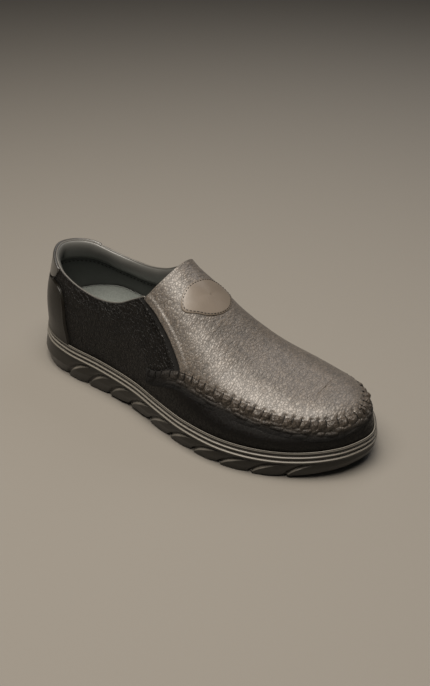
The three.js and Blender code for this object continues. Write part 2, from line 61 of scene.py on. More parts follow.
# Sizes of the shoe.
SOLE_LENGTH = 292.0
BALL_WIDTH = 112.0
SOLE_HEEL_HEIGHT = 31.0
COLLAR_BACK_HEIGHT = 93.5
VAMP_CREST_HEIGHT = 114.0
LIP_WIDTH = 3.0
LIP_DEPTH = 4.0
RIB_BAND_HEIGHT = 8.5
RIB_DEPTH = 1.1
WALL_TAPER = 1.6
FLOOR_BEVEL = 1.4
HEEL_FLARE = 2.6
FLARE_END = 0.32
TOE_SPRING = 9.0
SPRING_START = 0.76
ARCH_RISE = 2.0
ARCH_SPAN = (0.26, 0.54)
GROOVE_COUNT = 10
GROOVE_SPAN = (0.143, 0.845)
GROOVE_DEPTH = 2.4
GROOVE_WIDTH = 4.0
GROOVE_LEAN = 36.0
TREAD_DEPTH = 2.4
SEAT_GAP = 0.3
UPPER_WALL = 2.0
OVERLAY = 1.4
COUNTER_THICKNESS = 1.1
SIDE_SWELL = 2.2
SWELL_END = 0.55
GORE_WIDTH = 6.0
INSOLE_THICKNESS = 13.0
INSOLE_RIM_RISE = 14.0
INSOLE_RIM_LEAN = 1.6
INSOLE_FLAT = 0.55
PAD_THICKNESS = 3.2
PAD_HEIGHT = 17.0
PAD_FRONT_GAP = 3.0
COLLAR_TILT = 0.065
BADGE_LENGTH = 22.0
BADGE_WIDTH = 45.0
BADGE_POINT = 0.11
BADGE_TURN = math.radians(9)

SOLE_OUTLINE = {
    "along": [0, 0.025, 0.08, 0.16, 0.28, 0.4, 0.5, 0.6, 0.7, 0.79, 0.87, 0.93, 0.975, 1],
    "outer": [0, 0.155, 0.275, 0.341, 0.368, 0.413, 0.48, 0.538, 0.552, 0.506, 0.414, 0.306, 0.17, -0.03],
    "inner": [0, 0.17, 0.3, 0.344, 0.35, 0.348, 0.372, 0.423, 0.462, 0.46, 0.415, 0.335, 0.205, 0.03],
}
LAST = {
    "along": [0, 0.13, 0.28, 0.42, 0.465, 0.52, 0.58, 0.64, 0.7, 0.78, 0.87, 1],
    "top": [0.95, 0.93, 0.9, 0.85, 0.82, 0.775, 0.74, 0.72, 0.7, 0.685, 0.7, 0.8],
    "ridge": [1.18, 1.16, 1.2, 1.07, 0.975, 0.88, 0.745, 0.625, 0.535, 0.468, 0.424, 0.39],
    "swell": [0.6, 0.8, 0.8, 0.7, 0.7, 0.8, 0.9, 1, 1, 0.9, 0.7, -0.3],
    "lean": [1.5, 1.45, 1.5, 1.85, 1.9, 1.88, 1.85, 1.9, 2, 2.13, 2.18, 2.2],
    "round": [2.1, 2.1, 2.1, 2, 2, 2.1, 2.2, 2.4, 2.6, 2.8, 2.9, 2.9],
}
COLLAR = {
    "along": [-0.1, 0.01, 0.045, 0.08, 0.13, 0.2, 0.27, 0.335, 0.385, 0.42],
    "up": [1, 1, 0.993, 0.96, 0.904, 0.857, 0.839, 0.878, 0.96, 1.02],
}
VAMP_FOOT = (0.42, 0.82)
VAMP_CREST = (0.466, 1.0)
GORE = {
    "along": [0.402, 0.425, 0.458, 0.486, 0.511, 0.533, 0.552, 0.566],
    "up": [0.84, 0.8, 0.75, 0.7, 0.65, 0.595, 0.54, 0.495],
}
SEAM = {
    "along": [0.435, 0.49, 0.53, 0.57, 0.62, 0.7, 0.8, 0.87, 0.93, 1],
    "lateral": [0.39, 0.41, 0.455, 0.477, 0.462, 0.419, 0.375, 0.358, 0.358, 0.385],
    "medial": [0.39, 0.41, 0.445, 0.455, 0.405, 0.345, 0.325, 0.342, 0.365, 0.385],
}
COUNTER = {
    "up": [0.33, 0.5, 0.64, 0.75, 0.785, 0.795],
    "along": [0.166, 0.156, 0.151, 0.134, 0.115, 0.087],
}
TAB = {
    "along": [-0.1, 0.05, 0.085, 0.105, 0.118],
    "up": [0.785, 0.785, 0.805, 0.85, 0.95],
}
FOOTBED = {
    "along": [0, 0.1, 0.16, 0.24, 0.4, 0.6, 0.75, 1],
    "thickness": [1, 1, 1, 0.98, 0.8, 0.5, 0.4, 0.4],
    "rim": [0.5, 0.8, 1, 0.85, 0.55, 0.25, 0.1, 0],
}
BADGE_PLACE = (0.5445, -0.05)
HEEL_CENTRE = 0.13 * SOLE_LENGTH
TOE_CENTRE = 0.865 * SOLE_LENGTH

# Surface detail.
GATHER_PITCH = 6.2
GATHER_HEIGHT = 3.0
GATHER_ROW = 5.4
THREAD_RADIUS = 0.42


def column(table, key, along, base="along"):
    """Smooth interpolation of one column of a table."""
    x = np.asarray(table[base], float)
    y = np.asarray(table[key], float)
    slope = np.empty_like(y)
    slope[1:-1] = (y[2:] - y[:-2]) / (x[2:] - x[:-2])
    slope[0] = (y[1] - y[0]) / (x[1] - x[0])
    slope[-1] = (y[-1] - y[-2]) / (x[-1] - x[-2])
    a = np.clip(along, x[0], x[-1])
    i = np.clip(np.searchsorted(x, a, side="right") - 1, 0, len(x) - 2)
    span = x[i + 1] - x[i]
    t = (a - x[i]) / span
    rise = (2 * t**3 - 3 * t**2 + 1) * y[i] + (3 * t**2 - 2 * t**3) * y[i + 1]
    return rise + span * ((t**3 - 2 * t**2 + t) * slope[i] + (t**3 - t**2) * slope[i + 1])


def smoothstep(x, low, high):
    t = np.clip((x - low) / (high - low), 0, 1)
    return t * t * (3 - 2 * t)


def lerp(a, b, t):
    return a + (b - a) * t


def closed_curve(points, per_span):
    """Closed centripetal Catmull-Rom curve through plan points."""
    p = np.asarray(points, float)
    p0, p1, p2, p3 = (np.roll(p, k, axis=0) for k in (1, 0, -1, -2))
    d0, d1, d2 = (np.sqrt(np.linalg.norm(b - a, axis=1))[:, None] for a, b in ((p0, p1), (p1, p2), (p2, p3)))
    m1 = ((p1 - p0) / d0 - (p2 - p0) / (d0 + d1) + (p2 - p1) / d1) * d1
    m2 = ((p2 - p1) / d1 - (p3 - p1) / (d1 + d2) + (p3 - p2) / d2) * d1
    t = (np.arange(per_span) / per_span)[None, :, None]
    a, b, c, d = (v[:, None, :] for v in (p1, p2, m1, m2))
    curve = (2 * t**3 - 3 * t**2 + 1) * a + (3 * t**2 - 2 * t**3) * b
    curve = curve + (t**3 - 2 * t**2 + t) * c + (t**3 - t**2) * d
    return curve.reshape(-1, 2)


def sole_outline():
    along, outer, inner = (np.asarray(SOLE_OUTLINE[k], float) for k in ("along", "outer", "inner"))
    lateral = np.stack([along * SOLE_LENGTH, -outer * BALL_WIDTH], axis=1)
    medial = np.stack([along * SOLE_LENGTH, inner * BALL_WIDTH], axis=1)[1:-1][::-1]
    return closed_curve(np.concatenate([lateral, medial]), 40)


OUTLINE = sole_outline()


def reach(origin, direction):
    """Distance from points inside the sole's outline to it, along unit directions in plan."""
    p = OUTLINE[None]
    e = np.roll(OUTLINE, -1, axis=0)[None] - p
    d = direction[:, None]
    w = p - origin[:, None]
    cross = d[..., 0] * e[..., 1] - d[..., 1] * e[..., 0]
    cross = np.where(np.abs(cross) < 1e-9, 1e-9, cross)
    along = (w[..., 0] * e[..., 1] - w[..., 1] * e[..., 0]) / cross
    share = (w[..., 0] * d[..., 1] - w[..., 1] * d[..., 0]) / cross
    hit = (share >= -1e-6) & (share <= 1 + 1e-6) & (along > 0)
    return np.where(hit, along, 0).max(axis=1)


# Half-planes round the shoe, counter-clockwise from above, starting behind the heel.
HEEL_STEPS, STATION_STEPS, TOE_STEPS = 60, 330, 100
U_LATERAL = HEEL_STEPS
U_TOE = U_LATERAL + STATION_STEPS
U_TIP = U_TOE + TOE_STEPS
U_MEDIAL = U_TIP + TOE_STEPS
U_HEEL = U_MEDIAL + STATION_STEPS
U_END = U_HEEL + HEEL_STEPS


def half_planes():
    quarter = math.pi / 2
    share = np.arange(STATION_STEPS) / STATION_STEPS
    heel = np.arange(HEEL_STEPS) / HEEL_STEPS
    toe = np.arange(2 * TOE_STEPS) / TOE_STEPS
    x = np.concatenate([
        np.full(HEEL_STEPS, HEEL_CENTRE),
        lerp(HEEL_CENTRE, TOE_CENTRE, share),
        np.full(2 * TOE_STEPS, TOE_CENTRE),
        lerp(TOE_CENTRE, HEEL_CENTRE, share),
        np.full(HEEL_STEPS, HEEL_CENTRE),
    ])
    turn = np.concatenate([
        math.pi + quarter * heel,
        np.full(STATION_STEPS, 3 * quarter),
        3 * quarter + quarter * toe,
        np.full(STATION_STEPS, 5 * quarter),
        5 * quarter + quarter * heel,
    ])
    on_axis = np.stack([x, np.zeros_like(x)], axis=1)
    left = reach(on_axis, np.broadcast_to([0.0, 1.0], on_axis.shape))
    right = reach(on_axis, np.broadcast_to([0.0, -1.0], on_axis.shape))
    root = np.stack([x, (left - right) / 2], axis=1)
    out = np.stack([np.cos(turn), np.sin(turn)], axis=1)
    return {"x": x, "y": root[:, 1], "turn": turn, "reach": reach(root, out)}


PLANES = half_planes()


def plane(u):
    """Root, direction and reach of the half-planes at continuous places u."""
    u = np.mod(u, U_END)
    grid = np.arange(U_END + 1)

    def at(key, wrap):
        return np.interp(u, grid, np.append(PLANES[key], wrap))

    turn = at("turn", PLANES["turn"][0] + 2 * math.pi)
    return (at("x", PLANES["x"][0]), at("y", PLANES["y"][0]), np.cos(turn), np.sin(turn),
            at("reach", PLANES["reach"][0]))


def edge_point(u, inset):
    x, y, cx, cy, r = plane(u)
    return np.stack([x + cx * (r - inset), y + cy * (r - inset)], axis=-1)


def sole_top(x):
    return SOLE_HEEL_HEIGHT * column(LAST, "top", x / SOLE_LENGTH)


def last(u, share):
    """The last's surface: share 0 is the bed of the sole, share 1 the ridge."""
    u, share = np.broadcast_arrays(np.asarray(u, float), np.asarray(share, float))
    x, y, cx, cy, r = plane(u)
    edge_x = x + cx * r
    along = edge_x / SOLE_LENGTH
    base = sole_top(edge_x) - LIP_DEPTH + SEAT_GAP
    top = VAMP_CREST_HEIGHT * column(LAST, "ridge", x / SOLE_LENGTH)
    angle = np.clip(share, 0, 1) * math.pi / 2
    up = np.sin(angle) ** (2 / column(LAST, "lean", along))
    out = np.maximum(0, np.cos(angle)) ** (2 / column(LAST, "round", along))
    lip = LIP_DEPTH / (top - base)
    rise = np.clip((up - lip) / (SWELL_END - lip), 0, 1)
    swell = SIDE_SWELL * column(LAST, "swell", along) * np.sin(math.pi * rise) ** 2
    d = (r - LIP_WIDTH - SEAT_GAP) * out + swell
    return np.stack([x + cx * d, y + cy * d, lerp(base, top, up)], axis=-1)


def unit(v):
    return v / np.maximum(np.linalg.norm(v, axis=-1, keepdims=True), 1e-12)


def last_frame(u, share):
    """Point, outward normal and upward tangent of the last's surface."""
    u, share = np.broadcast_arrays(np.asarray(u, float), np.asarray(share, float))
    step = 0.01
    low = np.clip(share - step, 0, 1 - 2 * step)
    up = last(u, low + 2 * step) - last(u, low)
    around = last(u + 1.0, low + step) - last(u - 1.0, low + step)
    normal = np.cross(around, up)
    on_ridge = smoothstep(share, 0.97, 1.0)[..., None]
    normal = unit(normal) * [1, 1, 1] - unit(normal) * [0, 1, 0] * on_ridge
    return last(u, share), unit(normal), unit(up)


def skin(u, share, offset):
    p, n, _ = last_frame(u, share)
    return p + n * np.asarray(offset)[..., None]


def stretch(u, share):
    """Millimetres along the surface for one unit of share."""
    step = 0.01
    a = np.clip(share - step, 0, 1 - 2 * step)
    return np.linalg.norm(last(u, a + 2 * step) - last(u, a), axis=-1) / (2 * step)


def share_at_height(u, z):
    x, y, cx, cy, r = plane(u)
    edge_x = x + cx * r
    base = sole_top(edge_x) - LIP_DEPTH + SEAT_GAP
    top = VAMP_CREST_HEIGHT * column(LAST, "ridge", x / SOLE_LENGTH)
    up = np.clip((z - base) / (top - base), 0, 1)
    return np.arcsin(up ** (column(LAST, "lean", edge_x / SOLE_LENGTH) / 2)) * 2 / math.pi


def share_below(u, test):
    """Largest share at which the last's points still pass a test."""
    u = np.asarray(u, float)
    low, high = np.zeros_like(u), np.ones_like(u)
    for _ in range(26):
        middle = (low + high) / 2
        under = test(last(u, middle))
        low, high = np.where(under, middle, low), np.where(under, high, middle)
    return low


def lateral_u(x):
    return U_LATERAL + (x - HEEL_CENTRE) / (TOE_CENTRE - HEEL_CENTRE) * STATION_STEPS


def medial_u(x):
    return U_MEDIAL + (TOE_CENTRE - x) / (TOE_CENTRE - HEEL_CENTRE) * STATION_STEPS


def side_u(side, x):
    return lateral_u(x) if side == "lateral" else medial_u(x)


COLLAR_X = np.linspace(-0.1 * SOLE_LENGTH, VAMP_FOOT[0] * SOLE_LENGTH - 2, 200)
COLLAR_Z = COLLAR_BACK_HEIGHT * column(COLLAR, "up", COLLAR_X / SOLE_LENGTH)
OPENING_X = np.append(COLLAR_X, [VAMP_FOOT[0] * SOLE_LENGTH, VAMP_CREST[0] * SOLE_LENGTH])
OPENING_Z = np.append(COLLAR_Z, [VAMP_FOOT[1] * VAMP_CREST_HEIGHT, VAMP_CREST[1] * VAMP_CREST_HEIGHT])


def under_opening(p):
    edge = np.interp(p[..., 0], OPENING_X, OPENING_Z) + COLLAR_TILT * p[..., 1]
    return (p[..., 2] < edge) | (p[..., 0] > OPENING_X[-1])


def opening_share(u):
    return share_below(u, under_opening)


def gore_x(z):
    """Place of the gore line at a height, in millimetres."""
    up = np.asarray(GORE["up"])[::-1] * VAMP_CREST_HEIGHT
    along = np.asarray(GORE["along"])[::-1] * SOLE_LENGTH
    return column({"up": up, "along": along}, "along", z, base="up")


def seam_height(x, medial):
    lateral_z = column(SEAM, "lateral", x / SOLE_LENGTH)
    medial_z = column(SEAM, "medial", x / SOLE_LENGTH)
    return VAMP_CREST_HEIGHT * np.where(medial, medial_z, lateral_z)


def seam_share(u):
    medial = np.mod(u, U_END) > U_TIP
    return share_below(u, lambda p: p[..., 2] < seam_height(p[..., 0], medial))


def wobble(points, size, seed=0.0):
    """Smooth noise from -1 to 1 at points in millimetres."""
    flat = points.reshape(-1, 3) / size + seed
    values = [noise.noise(Vector(p)) for p in flat]
    return np.array(values).reshape(points.shape[:-1])


def near_line(points, line):
    """Distance from points to a polyline's points."""
    flat = points.reshape(-1, 3)
    best = np.full(len(flat), 1e9)
    for q in line:
        best = np.minimum(best, ((flat - q) ** 2).sum(axis=1))
    return np.sqrt(best).reshape(points.shape[:-1])


# Meshes


def piece(name, points, faces, material, replaced, tone_and_painted_sheen=None):
    """A mesh piece on the body from points in construction millimetres."""
    mesh = bpy.data.meshes.new(name)
    mesh.from_pydata(((np.asarray(points) + SHIFT) * MM).tolist(), [], faces)
    if tone_and_painted_sheen is not None:
        mesh.attributes.new("tone_and_painted_sheen", "FLOAT", "POINT").data.foreach_set("value", tone_and_painted_sheen.ravel())
    join = bmesh.new()
    join.from_mesh(mesh)
    bmesh.ops.remove_doubles(join, verts=join.verts, dist=0.01 * MM)
    bmesh.ops.dissolve_degenerate(join, edges=join.edges, dist=0.001 * MM)
    join.to_mesh(mesh)
    join.free()
    mesh.validate()
    mesh.update()
    mesh.polygons.foreach_set("use_smooth", [True] * len(mesh.polygons))
    mesh.materials.append(material)
    obj = bpy.data.objects.new(name, mesh)
    bpy.context.scene.collection.objects.link(obj)
    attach(obj, BODY)
    if replaced:
        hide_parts(replaced)
    return obj


def grid_faces(rows, cols, closed=False, start=0):
    r = np.arange(rows - 1)[:, None]
    c = np.arange(cols if closed else cols - 1)[None, :]
    n = (c + 1) % cols
    quads = np.stack([r * cols + c, r * cols + n, (r + 1) * cols + n, (r + 1) * cols + c], axis=-1)
    return quads.reshape(-1, 4) + start


def grid_piece(name, grid, material, replaced, outward, closed=False, tone_and_painted_sheen=None):
    """A sheet from a grid of points, its faces turned to the given outward directions."""
    rows, cols = grid.shape[:2]
    faces = grid_faces(rows, cols, closed)
    flat = grid.reshape(-1, 3)
    a, b, c, d = (flat[faces[:, k]] for k in range(4))
    normal = np.cross(c - a, d - b)
    guide = outward.reshape(-1, 3)[faces[:, 0]]
    if (normal * guide).sum() < 0:
        faces = faces[:, ::-1]
    return piece(name, flat, faces.tolist(), material, replaced, tone_and_painted_sheen)


def beads(name, path, normals, pitch, length, radius, material, replaced=None, sink=0.0):
    """A row of stitches: short rounded threads end to end along a path."""
    seg = np.linalg.norm(np.diff(path, axis=0), axis=1)
    s = np.concatenate([[0], np.cumsum(seg)])
    count = max(2, int(s[-1] / pitch))
    centre = (np.arange(count) + 0.5) * s[-1] / count
    points, faces = [], []
    sides, rings = 6, 5
    for k in centre:
        ts = np.clip(k + length * np.linspace(-0.5, 0.5, rings), 0, s[-1])
        spine = np.stack([np.interp(ts, s, path[:, i]) for i in range(3)], axis=1)
        up = unit(np.stack([np.interp(ts, s, normals[:, i]) for i in range(3)], axis=1))
        spine = spine + up * (radius * 0.5 - sink)
        tangent = unit(np.gradient(spine, axis=0))
        side = unit(np.cross(tangent, up))
        swell = radius * np.sqrt(np.clip(1 - np.linspace(-1, 1, rings) ** 2, 0.12, 1))
        start = len(points)
        for j in range(rings):
            for m in range(sides):
                t = 2 * math.pi * m / sides
                points.append(spine[j] + swell[j] * (math.cos(t) * side[j] + math.sin(t) * up[j]))
        faces.extend(grid_faces(rings, sides, True, start)[:, ::-1].tolist())
        faces.append([start + m for m in range(sides)])
        faces.append([start + (rings - 1) * sides + m for m in reversed(range(sides))])
    return piece(name, points, faces, material, replaced)


def tube(name, path, normals, radius, material, replaced=None, sides=8):
    """A tube along an open path."""
    tangent = unit(np.gradient(path, axis=0))
    side = unit(np.cross(tangent, normals))
    up = np.cross(side, tangent)
    t = 2 * math.pi * np.arange(sides) / sides
    r = np.broadcast_to(radius, (len(path),))[:, None, None]
    ring = np.cos(t)[None, :, None] * side[:, None] + np.sin(t)[None, :, None] * up[:, None]
    grid = path[:, None] + r * ring
    faces = grid_faces(len(path), sides, True)[:, ::-1].tolist()
    faces.append(list(range(sides)))
    faces.append([(len(path) - 1) * sides + m for m in reversed(range(sides))])
    return piece(name, grid.reshape(-1, 3), faces, material, replaced)


# Materials


def shader(name, color, roughness, **sockets):
    material = bpy.data.materials.new(name)
    material.use_nodes = True
    nodes = material.node_tree.nodes
    bsdf = nodes["Principled BSDF"]
    bsdf.inputs["Base Color"].default_value = (*color, 1)
    bsdf.inputs["Roughness"].default_value = roughness
    for key, value in sockets.items():
        bsdf.inputs[key.replace("_", " ")].default_value = value
    return material, nodes, material.node_tree.links, bsdf


def mapped(nodes, links, scale, stretch_by=(1, 1, 1)):
    """Object coordinates times a scale per metre."""
    coord = nodes.new("ShaderNodeTexCoord")
    mapping = nodes.new("ShaderNodeMapping")
    mapping.inputs["Scale"].default_value = [scale * k for k in stretch_by]
    links.new(coord.outputs["Object"], mapping.inputs["Vector"])
    return mapping.outputs["Vector"]


def noise_node(nodes, links, vector, scale, detail=3.0, rough=0.5):
    tex = nodes.new("ShaderNodeTexNoise")
    tex.inputs["Scale"].default_value = scale
    tex.inputs["Detail"].default_value = detail
    tex.inputs["Roughness"].default_value = rough
    links.new(vector, tex.inputs["Vector"])
    return tex


def ramp(nodes, links, value, stops):
    node = nodes.new("ShaderNodeValToRGB")
    elements = node.color_ramp.elements
    while len(elements) < len(stops):
        elements.new(0.5)
    for element, (place, color) in zip(elements, stops):
        element.position = place
        element.color = (*color, 1) if len(color) == 3 else color
    links.new(value, node.inputs["Fac"])
    return node


def bump(nodes, links, height, strength, distance, below=None):
    node = nodes.new("ShaderNodeBump")
    node.inputs["Strength"].default_value = strength
    node.inputs["Distance"].default_value = distance
    links.new(height, node.inputs["Height"])
    if below is not None:
        links.new(below, node.inputs["Normal"])
    return node.outputs["Normal"]


def multiply(nodes, links, a, b, factor=1.0):
    node = nodes.new("ShaderNodeMix")
    node.data_type = "RGBA"
    node.blend_type = "MULTIPLY"
    node.inputs["Factor"].default_value = factor
    links.new(a, node.inputs["A"])
    links.new(b, node.inputs["B"])
    return node.outputs["Result"]


def greys(*stops):
    """Stops of a ramp from pairs of place and grey value."""
    return [(place, (value,) * 3) for place, value in stops]


def grain_leather(name, dark, light, roughness, cell, depth, creased, gloss_level, coat,
                  relief=0.4, painted_sheen_faded=False):
    """Tumbled leather: pebbles drawn out across the foot, dull creases darkened with painted shade, and soft wrinkles.
    """
    material, nodes, links, bsdf = shader(name, dark, roughness)
    bsdf.inputs["Specular IOR Level"].default_value = gloss_level
    bsdf.inputs["Coat Weight"].default_value = coat
    bsdf.inputs["Coat Roughness"].default_value = 0.42
    place = mapped(nodes, links, 1.0)
    across = mapped(nodes, links, 1.0, (1.3, 0.7, 0.85))
    warp = noise_node(nodes, links, place, 190.0, 2.0)
    mix = nodes.new("ShaderNodeMix")
    mix.data_type = "VECTOR"
    mix.inputs["Factor"].default_value = 0.004
    links.new(across, mix.inputs["A"])
    links.new(warp.outputs["Color"], mix.inputs["B"])
    pebbles = nodes.new("ShaderNodeTexVoronoi")
    pebbles.feature = "DISTANCE_TO_EDGE"
    pebbles.inputs["Scale"].default_value = 1000.0 / cell
    links.new(mix.outputs["Result"], pebbles.inputs["Vector"])
    domes = ramp(nodes, links, pebbles.outputs["Distance"], greys((0.0, 0.0), (0.12, 0.6), (0.4, 1.0)))
    folds = noise_node(nodes, links, mapped(nodes, links, 1.0, (1.9, 0.6, 0.7)), 230.0, 2.0, 0.6)
    fold_lines = ramp(nodes, links, folds.outputs["Fac"], greys((0.34, 0.0), (0.45, 0.55), (0.6, 1.0)))
    wrinkles = noise_node(nodes, links, place, 95.0, 3.0, 0.55)
    tone_and_painted_sheen = noise_node(nodes, links, place, 45.0, 2.0)
    # Painted shade: the pebbles' edges, the creases, are darkened to half the dark colour.
    colors = ramp(nodes, links, pebbles.outputs["Distance"], [
        (0.0, [c * 0.5 for c in dark]), (0.13, dark), (0.45, light)])
    shade = ramp(nodes, links, tone_and_painted_sheen.outputs["Fac"], [(0.3, (0.86,) * 3), (0.7, (1.1, 1.08, 1.06))])
    tint = multiply(nodes, links, colors.outputs["Color"], shade.outputs["Color"])
    # Painted shade: the colour is darkened along the fold lines.
    tint = multiply(nodes, links, tint, fold_lines.outputs["Color"], 0.6 * creased)
    gloss = ramp(nodes, links, pebbles.outputs["Distance"], greys(
        (0.0, min(1.0, roughness + 0.35)), (0.14, roughness + 0.04), (0.5, roughness)))
    # Painted sheen: the per-point attribute dims the light base colour where the painted sheen fades, and roughens it
    # there.
    if painted_sheen_faded:
        attribute = nodes.new("ShaderNodeAttribute")
        attribute.attribute_name = "tone_and_painted_sheen"
        tint = multiply(nodes, links, tint, attribute.outputs["Fac"])
        gloss = ramp(nodes, links, attribute.outputs["Fac"], greys((0.0, 0.95), (0.3, 0.7), (0.7, roughness)))
    links.new(tint, bsdf.inputs["Base Color"])
    links.new(gloss.outputs["Color"], bsdf.inputs["Roughness"])
    soft = bump(nodes, links, wrinkles.outputs["Fac"], 0.35, 0.0012)
    folded = bump(nodes, links, fold_lines.outputs["Color"], creased, 0.0008, soft)
    links.new(bump(nodes, links, domes.outputs["Color"], depth, relief * MM, folded), bsdf.inputs["Normal"])
    return material


def smooth_leather(name, color, roughness, wear, gloss_level=0.5, coat=0.0):
    """Smooth leather: fine pores and a faint cloudy polish."""
    material, nodes, links, bsdf = shader(name, color, roughness)
    bsdf.inputs["Specular IOR Level"].default_value = gloss_level
    bsdf.inputs["Coat Weight"].default_value = coat
    bsdf.inputs["Coat Roughness"].default_value = 0.22
    place = mapped(nodes, links, 1.0)
    pores = noise_node(nodes, links, place, 1500.0, 3.0, 0.6)
    cloud = noise_node(nodes, links, place, 60.0, 3.0)
    colors = ramp(nodes, links, cloud.outputs["Fac"], [(0.3, color), (0.75, [c * wear for c in color])])
    links.new(colors.outputs["Color"], bsdf.inputs["Base Color"])
    gloss = ramp(nodes, links, cloud.outputs["Fac"], greys((0.3, roughness), (0.7, roughness + 0.08)))
    links.new(gloss.outputs["Color"], bsdf.inputs["Roughness"])
    soft = bump(nodes, links, cloud.outputs["Fac"], 0.3, 0.001)
    links.new(bump(nodes, links, pores.outputs["Fac"], 0.16, 0.0002, soft), bsdf.inputs["Normal"])
    return material


def rubber(name, color, light):
    """Moulded rubber: satin, faintly mottled, with a painted highlight lightening what faces up."""
    material, nodes, links, bsdf = shader(name, color, 0.5)
    place = mapped(nodes, links, 1.0)
    mottle = noise_node(nodes, links, place, 120.0, 4.0, 0.6)
    colors = ramp(nodes, links, mottle.outputs["Fac"], [(0.35, color), (0.75, light)])
    # Painted highlight: faces turned up are mixed towards light grey, in place of the overhead light on the ribs'
    # tops.
    facing = nodes.new("ShaderNodeNewGeometry")
    split = nodes.new("ShaderNodeSeparateXYZ")
    links.new(facing.outputs["Normal"], split.inputs["Vector"])
    painted_top_highlight = ramp(nodes, links, split.outputs["Z"], greys((0.3, 0.0), (0.75, 0.9)))
    painted_top_highlight_mix = nodes.new("ShaderNodeMix")
    painted_top_highlight_mix.data_type = "RGBA"
    painted_top_highlight_mix.inputs["B"].default_value = (0.27, 0.25, 0.215, 1)
    links.new(painted_top_highlight.outputs["Color"], painted_top_highlight_mix.inputs["Factor"])
    links.new(colors.outputs["Color"], painted_top_highlight_mix.inputs["A"])
    links.new(painted_top_highlight_mix.outputs["Result"], bsdf.inputs["Base Color"])
    fine = noise_node(nodes, links, place, 2200.0, 2.0)
    gloss = ramp(nodes, links, mottle.outputs["Fac"], greys((0.3, 0.3), (0.7, 0.42)))
    links.new(gloss.outputs["Color"], bsdf.inputs["Roughness"])
    links.new(bump(nodes, links, fine.outputs["Fac"], 0.12, 0.0002), bsdf.inputs["Normal"])
    return material


def cloth(name, color, light, scale, depth, stripe="X", sheen=0.25):
    """Fine cloth: crossed threads, or ribs across one direction for elastic."""
    material, nodes, links, bsdf = shader(name, color, 0.85)
    bsdf.inputs["Sheen Weight"].default_value = sheen
    bsdf.inputs["Sheen Roughness"].default_value = 0.5
    place = mapped(nodes, links, 1.0)
    weave = nodes.new("ShaderNodeTexWave")
    weave.inputs["Scale"].default_value = scale
    weave.inputs["Distortion"].default_value = 1.2
    weave.bands_direction = stripe
    links.new(place, weave.inputs["Vector"])
    fuzz = noise_node(nodes, links, place, 900.0, 4.0, 0.7)
    colors = ramp(nodes, links, fuzz.outputs["Fac"], [(0.3, color), (0.7, light)])
    links.new(colors.outputs["Color"], bsdf.inputs["Base Color"])
    soft = bump(nodes, links, fuzz.outputs["Fac"], 0.4, 0.0004)
    links.new(bump(nodes, links, weave.outputs["Fac"], depth, 0.0003, soft), bsdf.inputs["Normal"])
    return material


# Painted sheen: the apron is the same black leather as the sides and mudguard, given a light base colour in place of
# its broad sheen.
APRON_LEATHER_PAINTED_SHEEN = grain_leather(
    "apron_leather_painted_sheen", (0.13, 0.107, 0.085), (0.18, 0.148, 0.117), 0.43, 2.2, 0.55, 0.5, 1.0, 0.9)
SIDE_LEATHER = grain_leather(
    "side_leather", (0.004, 0.0032, 0.0024), (0.008, 0.0064, 0.0048), 0.36, 2.6, 0.9, 0.6, 0.36, 0.0,
    relief=0.6)
# Painted sheen: the gathers are the same black leather, given a light base colour that a per-point attribute fades.
GATHER_LEATHER_PAINTED_SHEEN = grain_leather(
    "gather_leather_painted_sheen", (0.085, 0.07, 0.056), (0.12, 0.1, 0.081), 0.42, 2.4, 0.4, 0.5, 0.45, 0.0, painted_sheen_faded=True)
MUDGUARD_LEATHER = grain_leather(
    "mudguard_leather", (0.004, 0.0033, 0.0026), (0.007, 0.0057, 0.0046), 0.38, 2.4, 0.12, 0.15, 0.25, 0.0)
SMOOTH_LEATHER = smooth_leather("counter_leather", (0.007, 0.0058, 0.004), 0.28, 1.5, 0.32, 0.02)
TAB_LEATHER = smooth_leather("tab_leather", (0.034, 0.0315, 0.028), 0.28, 1.5, 0.9, 0.6)
# Painted sheen: the badge is black leather given a light base colour to match the apron's lit part.
BADGE_LEATHER_PAINTED_SHEEN = smooth_leather("badge_leather_painted_sheen", (0.16, 0.13, 0.101), 0.46, 1.2, 0.8, 0.3)
LINING = smooth_leather("lining_leather", (0.052, 0.057, 0.053), 0.6, 1.3)
ROLL_LEATHER = smooth_leather("roll_leather", (0.095, 0.095, 0.088), 0.38, 1.25, 0.7, 0.3)
# Painted highlight: a grey material for the tube that stands for the light caught along the collar's edge.
COLLAR_EDGE_HIGHLIGHT = smooth_leather("collar_edge_highlight_leather", (0.1, 0.095, 0.085), 0.42, 1.2, 0.7, 0.3)
SOCK = cloth("sock_cloth", (0.15, 0.168, 0.156), (0.23, 0.25, 0.235), 700.0, 0.3)
ELASTIC = cloth("elastic_cloth", (0.002, 0.0018, 0.0014), (0.007, 0.006, 0.0045), 500.0, 0.8, "Z", 0.05)
THREAD = smooth_leather("thread", (0.005, 0.0042, 0.0035), 0.55, 1.6, 0.3)
RUBBER = rubber("sole_rubber", (0.009, 0.0076, 0.0052), (0.018, 0.0155, 0.011))


# Camera

